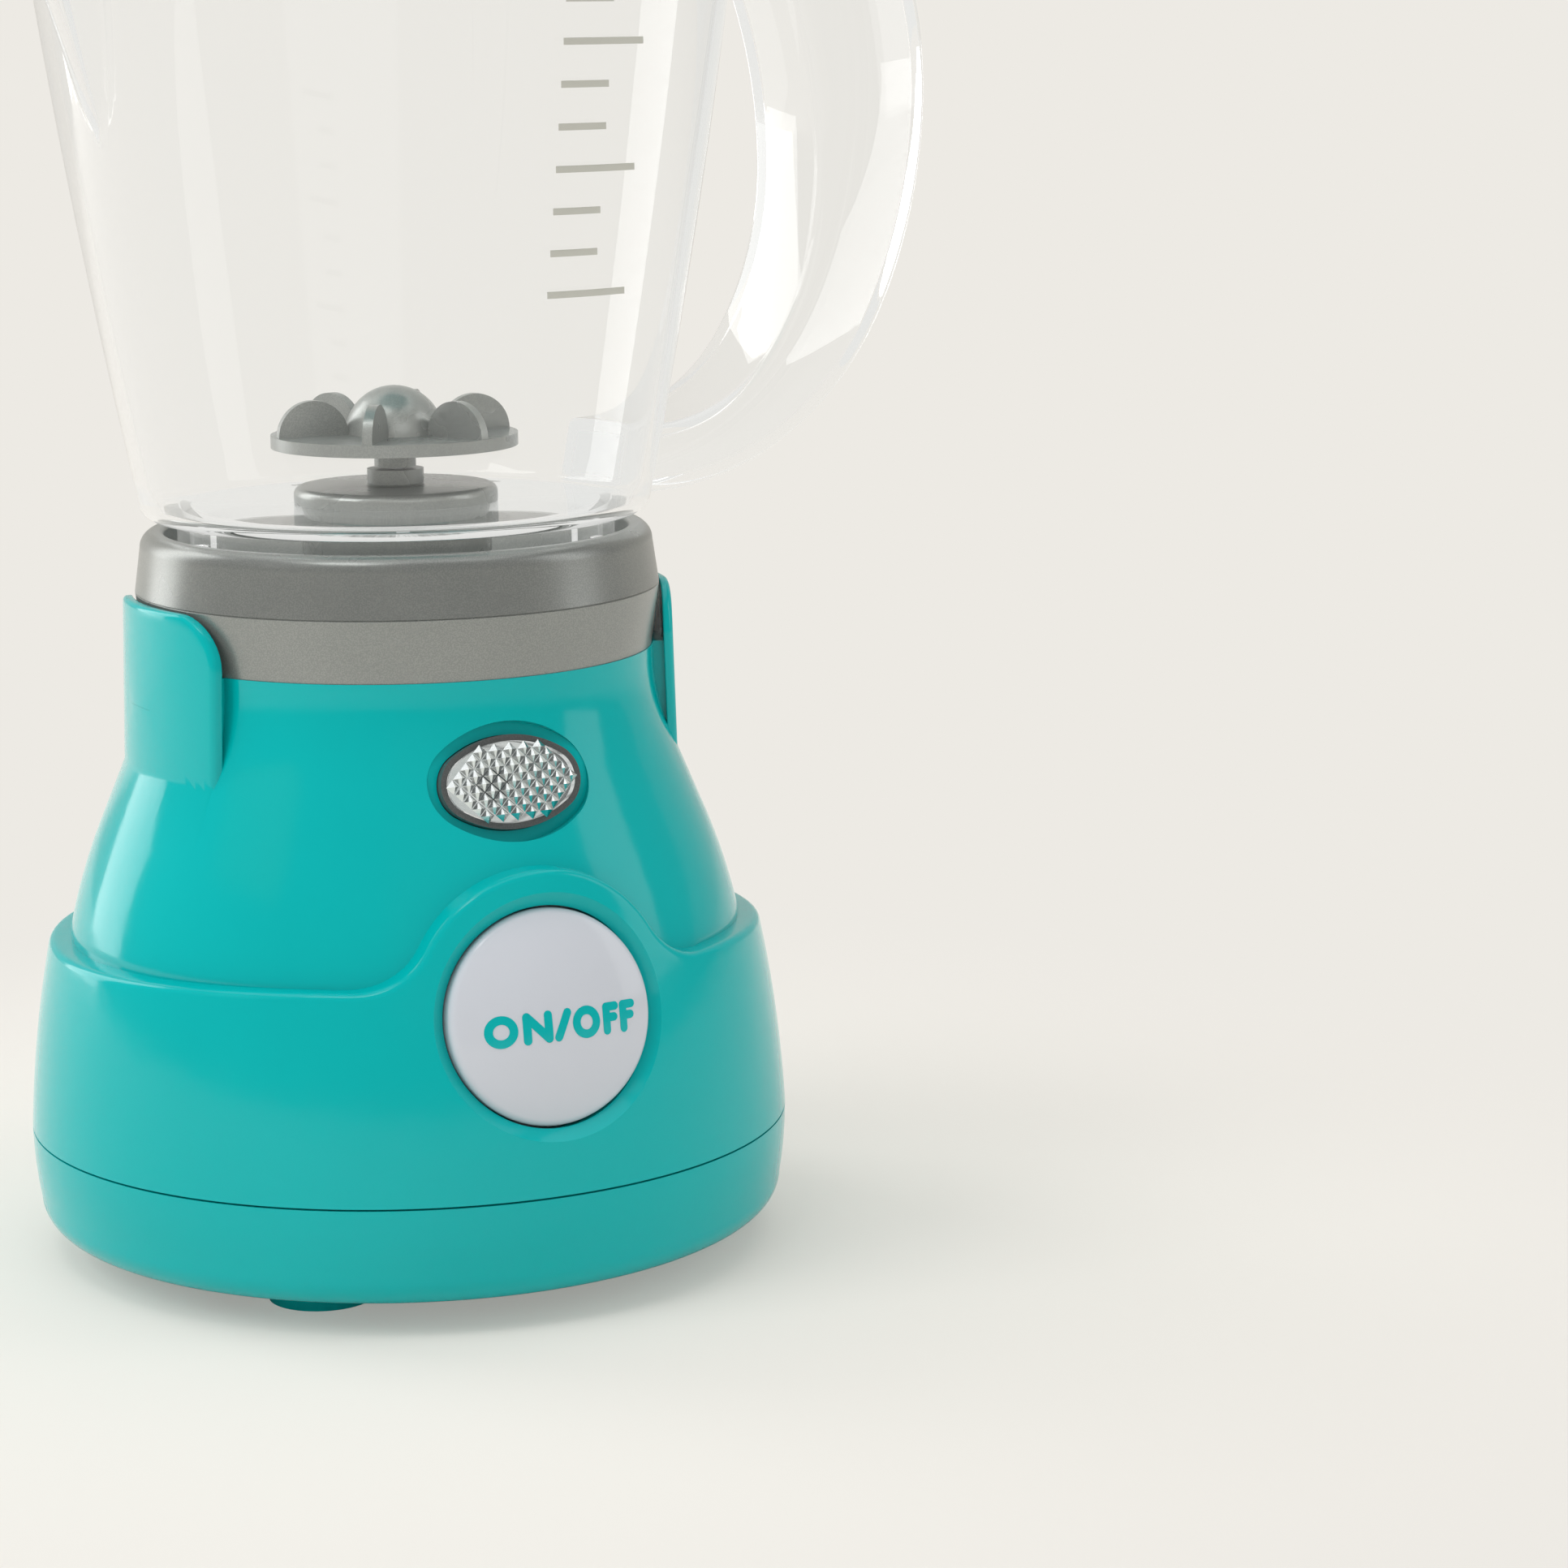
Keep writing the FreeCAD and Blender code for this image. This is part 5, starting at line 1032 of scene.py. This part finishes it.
def grown(tree, points, name, **values):
    """Runs a tree on points, in millimetres, and returns its mesh."""
    mesh = bpy.data.meshes.new(name)
    mesh.from_pydata(points, [], [])
    carrier = new_object(name, mesh)
    modifier = carrier.modifiers.new("grow", "NODES")
    modifier.node_group = tree
    for key, value in values.items():
        modifier[socket_id(tree, key)] = value
    ready = carrier.evaluated_get(bpy.context.evaluated_depsgraph_get())
    result = bpy.data.meshes.new_from_object(ready)
    bpy.data.objects.remove(carrier)
    return result


lattice = []
for row in range(-9, 10):
    for column in range(-6, 7):
        u = (column + 0.5 * (row % 2)) * FACET_STEP
        v = row * FACET_STEP / 2
        if (u / FIELD[0]) ** 2 + (v / FIELD[1]) ** 2 < 1.0:
            height = LENS_CROWN - (u * u + v * v) / (2 * LENS_BEND) + FACET_LIFT
            lattice.append((u, v, height))
facets = bmesh.new()
facets.from_mesh(grown(facet_tree(glint), lattice, "facets",
                       Radius=FACET_WIDTH / 2, Height=FACET_HEIGHT))
bmesh.ops.transform(facets, matrix=LENS_PLACE, verts=facets.verts)
hand_over(to_piece(facets, "lens_facets"), "base", "lens_plastic", glint)
print("facets:", len(lattice))

# %% [markdown]
# ## The blade's mount
# The mount clamps the jug's floor. Its upper half is a turned disc with a soft edge, and a
# sleeve rises from its middle to carry the blade's shaft.

# %% Blade mount
JUG_LOW = 114.4
JUG_FLOOR = 116.0
BORE, SLEEVE, SLEEVE_TOP = 1.55, 4.35, 121.4
CLAMP = 9.7
MOUNT, MOUNT_SIDE_TOP = 15.65, 117.7
MOUNT_TOP = 118.9
MOUNT_ROUND = 1.2
mount = to_piece(lathe(
    [(BORE, JUG_LOW), (CLAMP, JUG_LOW), (CLAMP, JUG_FLOOR), (MOUNT, JUG_FLOOR)]
    + bow((MOUNT, MOUNT_SIDE_TOP), (MOUNT - MOUNT_ROUND, MOUNT_TOP), MOUNT_ROUND, 10)
    + [(MOUNT - MOUNT_ROUND, MOUNT_TOP), (SLEEVE + 0.25, MOUNT_TOP), (SLEEVE, MOUNT_TOP + 0.3),
       (SLEEVE, SLEEVE_TOP), (BORE, SLEEVE_TOP)]), "mount_disc")
hand_over(mount, "jug", "grey_plastic", grey, "blade_mount")

# %% [markdown]
# ## The jug
# The jug is clear, so what is inside its walls shows as much as its outside. The wall, its neck
# and its rim are one turned shape.

# %% Wall of the jug
JUG_TOP = 251.0
JUG_WALL = 1.9
JUG_FOOT = (39.3, JUG_LOW + 3.0)
JUG_RIM = (58.5, JUG_TOP)
JUG_BEND = 1200.0
JUG_TURN = math.radians(9)
NECK_RADIUS = 33.6
NECK_LOW = 102.4
JUG_CENTRE = bend_centre(JUG_FOOT, JUG_RIM, JUG_BEND)
FLOOR_HOLE = 10.0
FOOT_ROUND = 3.0
FLOOR_EDGE = (36.0, JUG_FLOOR)
FLOOR_ROUND = 1.4
RIM_LIP, RIM_SLOPE, RIM_LOW = 59.6, 1.5, 2.6


def jug_side(inset, low, high, steps=40):
    """The jug's side between two levels, moved in by a wall."""
    levels = [low + (high - low) * step / steps for step in range(steps + 1)]
    return [(JUG_CENTRE.x + math.sqrt((JUG_BEND - inset) ** 2 - (level - JUG_CENTRE.y) ** 2), level)
            for level in levels]


def jug_wall():
    """The jug's wall with its neck, foot and rim."""
    outer = jug_side(0, JUG_FOOT[1], JUG_TOP - RIM_LOW)
    inner = jug_side(JUG_WALL, JUG_FOOT[1], JUG_TOP)
    neck_inside = NECK_RADIUS - JUG_WALL
    return lathe(
        [(FLOOR_HOLE, JUG_LOW), (neck_inside, JUG_LOW), (neck_inside, NECK_LOW),
         (NECK_RADIUS, NECK_LOW), (NECK_RADIUS, JUG_LOW)]
        + bow((JUG_FOOT[0] - FOOT_ROUND, JUG_LOW), JUG_FOOT, FOOT_ROUND, 10) + outer
        + [(RIM_LIP, JUG_TOP - RIM_SLOPE), (RIM_LIP, JUG_TOP)] + inner[::-1][:-1]
        + bow(FLOOR_EDGE, inner[0], FLOOR_ROUND, 6)[::-1] + [(FLOOR_HOLE, JUG_FLOOR)])


# %% [markdown]
# ## The handle
# The handle is a hollow box that runs along an oval loop. Its outer and inner edges are two
# ovals of arcs. Points of both that face the same way make a station, and a rounded rectangle
# stands on it, with a smaller one inside it for the hollow. One surface runs out over the
# large rectangles and back over the small ones.

# %% Handle
HANDLE_ROOT = 43.0
HANDLE_HALF = 9.25
HANDLE_WALL = 2.0
OUTER_LOOP = (178.0, 54.6, (63.0, 52.0), (56.0, 52.6))
INNER_LOOP = (165.5, 33.0, (39.8, 30.0), (52.0, 25.0))
OUTSIDE_CORNER, INSIDE_CORNER = 1.4, 0.6
INTO_JUG = Vector((-11.0, 0.0))


def loop_point(angle, centre, across, low, high):
    """A point of an oval loop, found from the way that its edge faces."""
    drop, end = low if angle < 0 else high
    side = ((drop - end) ** 2 + across ** 2 - end ** 2) / (2 * (across - end))
    limit = math.atan2(drop - end, side - across)
    if abs(angle) > limit:
        x, z = 0.0, math.copysign(drop - end, angle)
        bend = end
    else:
        x, z, bend = across - side, 0.0, side
    return Vector((HANDLE_ROOT + x + bend * math.cos(angle), centre + z + bend * math.sin(angle)))


def station(inner, outer, wall, corner):
    """A rounded rectangle between two points of the loop, moved in by a wall."""
    middle = (inner + outer) / 2
    way = (outer - inner).normalized()
    reach = (outer - inner).length / 2 - wall
    side = HANDLE_HALF - wall
    loop = []
    for turn, (sign_m, sign_y) in enumerate(((1, 1), (-1, 1), (-1, -1), (1, -1))):
        for step in range(5):
            angle = math.radians(90 * turn + 22.5 * step)
            m = sign_m * (reach - corner) + corner * math.cos(angle)
            y = sign_y * (side - corner) + corner * math.sin(angle)
            loop.append((middle.x + way.x * m, y, middle.y + way.y * m))
    return loop


def handle_shape():
    """The hollow handle, open at both ends inside the jug."""
    pairs = []
    for step in range(-45, 46):
        angle = math.radians(2 * step)
        pairs.append((loop_point(angle, *INNER_LOOP), loop_point(angle, *OUTER_LOOP)))
    ends = [tuple(point + INTO_JUG for point in pairs[index]) for index in (0, -1)]
    pairs = [ends[0]] + pairs + [ends[1]]
    outside = [station(*pair, 0.0, OUTSIDE_CORNER) for pair in pairs]
    inside = [station(*pair, HANDLE_WALL, INSIDE_CORNER) for pair in pairs]
    return loft(outside + inside[::-1], around=True)


# %% [markdown]
# ## The spout and the finished jug
# The spout is a slanted cone that grows out of the jug's side. The handle and the spout are
# made first, and what they leave inside the jug is cut away before the wall joins them.

# %% Spout and jug
SPOUT_LOW = JUG_LOW + 57.0
SPOUT_RADIUS = 7.0
SPOUT_SPREAD = 6.0
SPOUT_SINK = 0.4
SPOUT_REACH = 61.5
SPOUT_WALL = 1.7
RIB_IN, RIB_OUT, RIB_HALF, RIB_TOP = 32.6, 35.25, 1.0, 112.1


def spout_shape(inset, top):
    """The spout's slanted cone, from its point on the jug's side to a level."""
    foot = jug_side(0, SPOUT_LOW, SPOUT_LOW, 1)[0][0] - SPOUT_SINK - SPOUT_RADIUS
    lean = (SPOUT_REACH - foot) / (JUG_TOP - SPOUT_LOW)
    spread = SPOUT_SPREAD / (JUG_TOP - SPOUT_LOW)
    loops = []
    for step in range(41):
        level = SPOUT_LOW + (top - SPOUT_LOW) * step / 40
        middle = foot + lean * (level - SPOUT_LOW)
        radius = SPOUT_RADIUS + spread * (level - SPOUT_LOW) - inset
        loops.append([(-middle + u, v, level) for u, v in disc(radius, steps=128)])
    return loft(loops)


def jug_core():
    """The space that the jug's side goes round, out to the middle of its wall."""
    low, top = JUG_LOW - 1.0, JUG_TOP + 20
    return lathe([(0, low)] + jug_side(JUG_WALL / 2, low, top) + [(0, top)])


def neck_ribs():
    """Six ribs that centre the neck in the collar."""
    corners = [(RIB_IN, -RIB_HALF), (RIB_OUT, -RIB_HALF), (RIB_OUT, RIB_HALF), (RIB_IN, RIB_HALF)]
    turns = [Matrix.Rotation(math.radians(60 * number), 4, "Z") for number in range(6)]
    return joined([prism(corners, turn, NECK_LOW + 0.02, RIB_TOP) for turn in turns])


jug = to_piece(handle_shape(), "jug_clear")
carve(jug, jug_core())
spout = to_piece(spout_shape(0.0, JUG_TOP), "spout")
carve(spout, jug_core())
carve(jug, spout, "UNION")
carve(jug, jug_wall(), "UNION")
carve(jug, spout_shape(SPOUT_WALL, JUG_TOP + 13.0))
carve(jug, neck_ribs(), "UNION")
jug.data.transform(Matrix.Rotation(JUG_TURN, 4, "Z"))
hand_over(jug, "jug", "clear_plastic", clear, "jug_front_half", "jug_back_half")

# %% [markdown]
# ## A plain scale on the jug
# A jug for measuring carries a scale on its front: short ticks, with a longer one at every
# third. A tick is a thin strip that follows the jug's round, a hair above the wall, which
# keeps its edges crisp from any distance.

# %% Scale
SCALE_TURN = math.radians(7.0)
TICK_STEP = 6.0
TICK_HALF = 0.5
TICK_LOW = 150.0
LONG_TICK, SHORT_TICK = 15.0, 8.5
TICK_EDGES = ((0.02, -TICK_HALF), (0.06, -TICK_HALF), (0.06, TICK_HALF), (0.02, TICK_HALF))


def tick(level, length):
    """One printed tick that starts at the scale's left edge."""
    radius = jug_side(0, level, level, 1)[0][0]
    rows = []
    for step in range(9):
        angle = SCALE_TURN + length / radius * step / 8
        across, front = math.sin(angle), -math.cos(angle)
        rows.append([((radius + lift) * across, (radius + lift) * front, level + side)
                     for lift, side in TICK_EDGES])
    return loft(rows)


ticks = [tick(TICK_LOW + TICK_STEP * number, SHORT_TICK if number % 3 else LONG_TICK)
         for number in range(10)]
print_grey = gloss_plastic(
    "print_grey", (0.52, 0.52, 0.47, 1), (0.58, 0.58, 0.53, 1), 0.35, 0.00001, coat=0.0)
hand_over(to_piece(joined(ticks), "jug_scale"), "jug", "inner_plastic", print_grey)

# %% [markdown]
# ## Floor, backdrop and light
# The photograph has one warm white all over. A floor that curves up into a backdrop gives no
# horizon. The floor takes the toy's shadow, and a share of it shines back its own colour to
# the camera, so that it stays even without more light on the toy. The two large lamps in
# front light the toy but aren't mirrored in it, where each would be a pale band.

# %% Studio
PAPER = (0.847, 0.823, 0.776, 1)
PAPER_GLOW = 0.36
GLOW_NEAR = 0.09
GLOW_FAR = 0.24


def make_backdrop():
    """A floor that curves up behind the toy."""
    shape = bmesh.new()
    rows = []
    profile = [(-2.2, 0.0)] + [
        (1.2 + 0.8 * math.sin(math.radians(step * 6)), 0.8 - 0.8 * math.cos(math.radians(step * 6)))
        for step in range(16)
    ] + [(2.0, 3.0)]
    for depth, height in profile:
        rows.append([shape.verts.new((side, depth, height)) for side in (-3.5, 3.5)])
    for near, far in zip(rows, rows[1:]):
        shape.faces.new((near[0], near[1], far[1], far[0]))
    mesh = bpy.data.meshes.new("backdrop")
    for face in shape.faces:
        face.smooth = True
    shape.to_mesh(mesh)
    shape.free()
    mesh.transform(Matrix.Rotation(-SUBJECT_TURN, 4, "Z"))
    backdrop = new_object("backdrop", mesh)
    return backdrop


def paper_finish():
    """Matt paper that shows its own colour to the camera and still takes a shadow."""
    finish = Finish("paper", Base_Color=PAPER, Roughness=0.9)
    glow = finish.add("ShaderNodeEmission", Color=PAPER, Strength=1.0)
    seen = finish.path("Is Camera Ray") + finish.path("Is Transmission Ray")
    reach = finish.add("ShaderNodeVectorMath", {"operation": "LENGTH"}, output=1, i0=finish.where())
    far = finish.add("ShaderNodeMapRange", {"interpolation_type": "SMOOTHSTEP"}, Value=reach,
                     From_Min=GLOW_NEAR, From_Max=GLOW_FAR, To_Min=PAPER_GLOW, To_Max=1.0)
    finish.cover(seen * far, glow)
    return finish.material


backdrop = make_backdrop()
backdrop.data.materials.append(paper_finish())


def soft_box(name, place, aim_level, size, power, mirrored):
    """A large soft lamp that points at a level of the toy."""
    data = bpy.data.lights.new(name, "AREA")
    data.shape = "RECTANGLE"
    data.size, data.size_y = size
    data.energy = power
    lamp = new_object(name, data)
    place = Matrix.Rotation(-SUBJECT_TURN, 4, "Z") @ Vector(place)
    lamp.location = place
    lamp.rotation_mode = "QUATERNION"
    lamp.rotation_quaternion = (Vector((0, 0, aim_level)) - place).to_track_quat("-Z", "Y")
    lamp.visible_glossy = mirrored


for lamp_values in (
    ("top_box", (0.0, 0.1, 1.5), 0.1, (1.8, 1.4), 7.6, True),
    ("rim_box", (-1.05, 0.7, 0.55), 0.12, (0.6, 1.2), 6.5, True),
    ("right_box", (1.25, -0.1, 0.6), 0.12, (0.5, 1.0), 2.2, True),
    ("edge_box", (-0.35, -0.5, 1.25), 0.1, (0.45, 0.25), 1.6, True),
    ("key_box", (-1.15, -0.55, 1.05), 0.05, (0.8, 0.8), 8.2, False),
    ("fill_box", (0.5, -1.7, 0.8), 0.1, (1.4, 1.0), 3.3, False),
):
    soft_box(*lamp_values)
print("paper and lamps ready")

# %% [markdown]
# ## The room around the studio
# Light also comes from the room. What a glossy surface mirrors of it is kept dim, so that the
# teal stays deep, while what is seen through a clear wall is as pale as the paper.

# %% Room
ROOM_LIGHT = ((1.0, 0.985, 0.96, 1), 0.5)
OTHER_LIGHTS = (
    ("Is Glossy Ray", (1.0, 0.99, 0.97, 1), 0.22),
    ("Is Transmission Ray", PAPER, 1.0),
)


def make_room():
    """A pale world that shines less into glossy surfaces."""
    world = bpy.data.worlds.new("studio")
    world.use_nodes = True
    tree = world.node_tree
    path = tree.nodes.new("ShaderNodeLightPath")
    shown = tree.nodes["Background"]
    shown.inputs["Color"].default_value, shown.inputs["Strength"].default_value = ROOM_LIGHT
    for kind, colour, strength in OTHER_LIGHTS:
        light = tree.nodes.new("ShaderNodeBackground")
        light.inputs["Color"].default_value = colour
        light.inputs["Strength"].default_value = strength
        mix = tree.nodes.new("ShaderNodeMixShader")
        for socket, source in enumerate((path.outputs[kind], shown.outputs[0], light.outputs[0])):
            tree.links.new(source, mix.inputs[socket])
        shown = mix
    tree.links.new(shown.outputs[0], tree.nodes["World Output"].inputs["Surface"])
    return world


bpy.context.scene.world = make_room()
bpy.context.scene.view_settings.view_transform = "Standard"
print("studio ready")
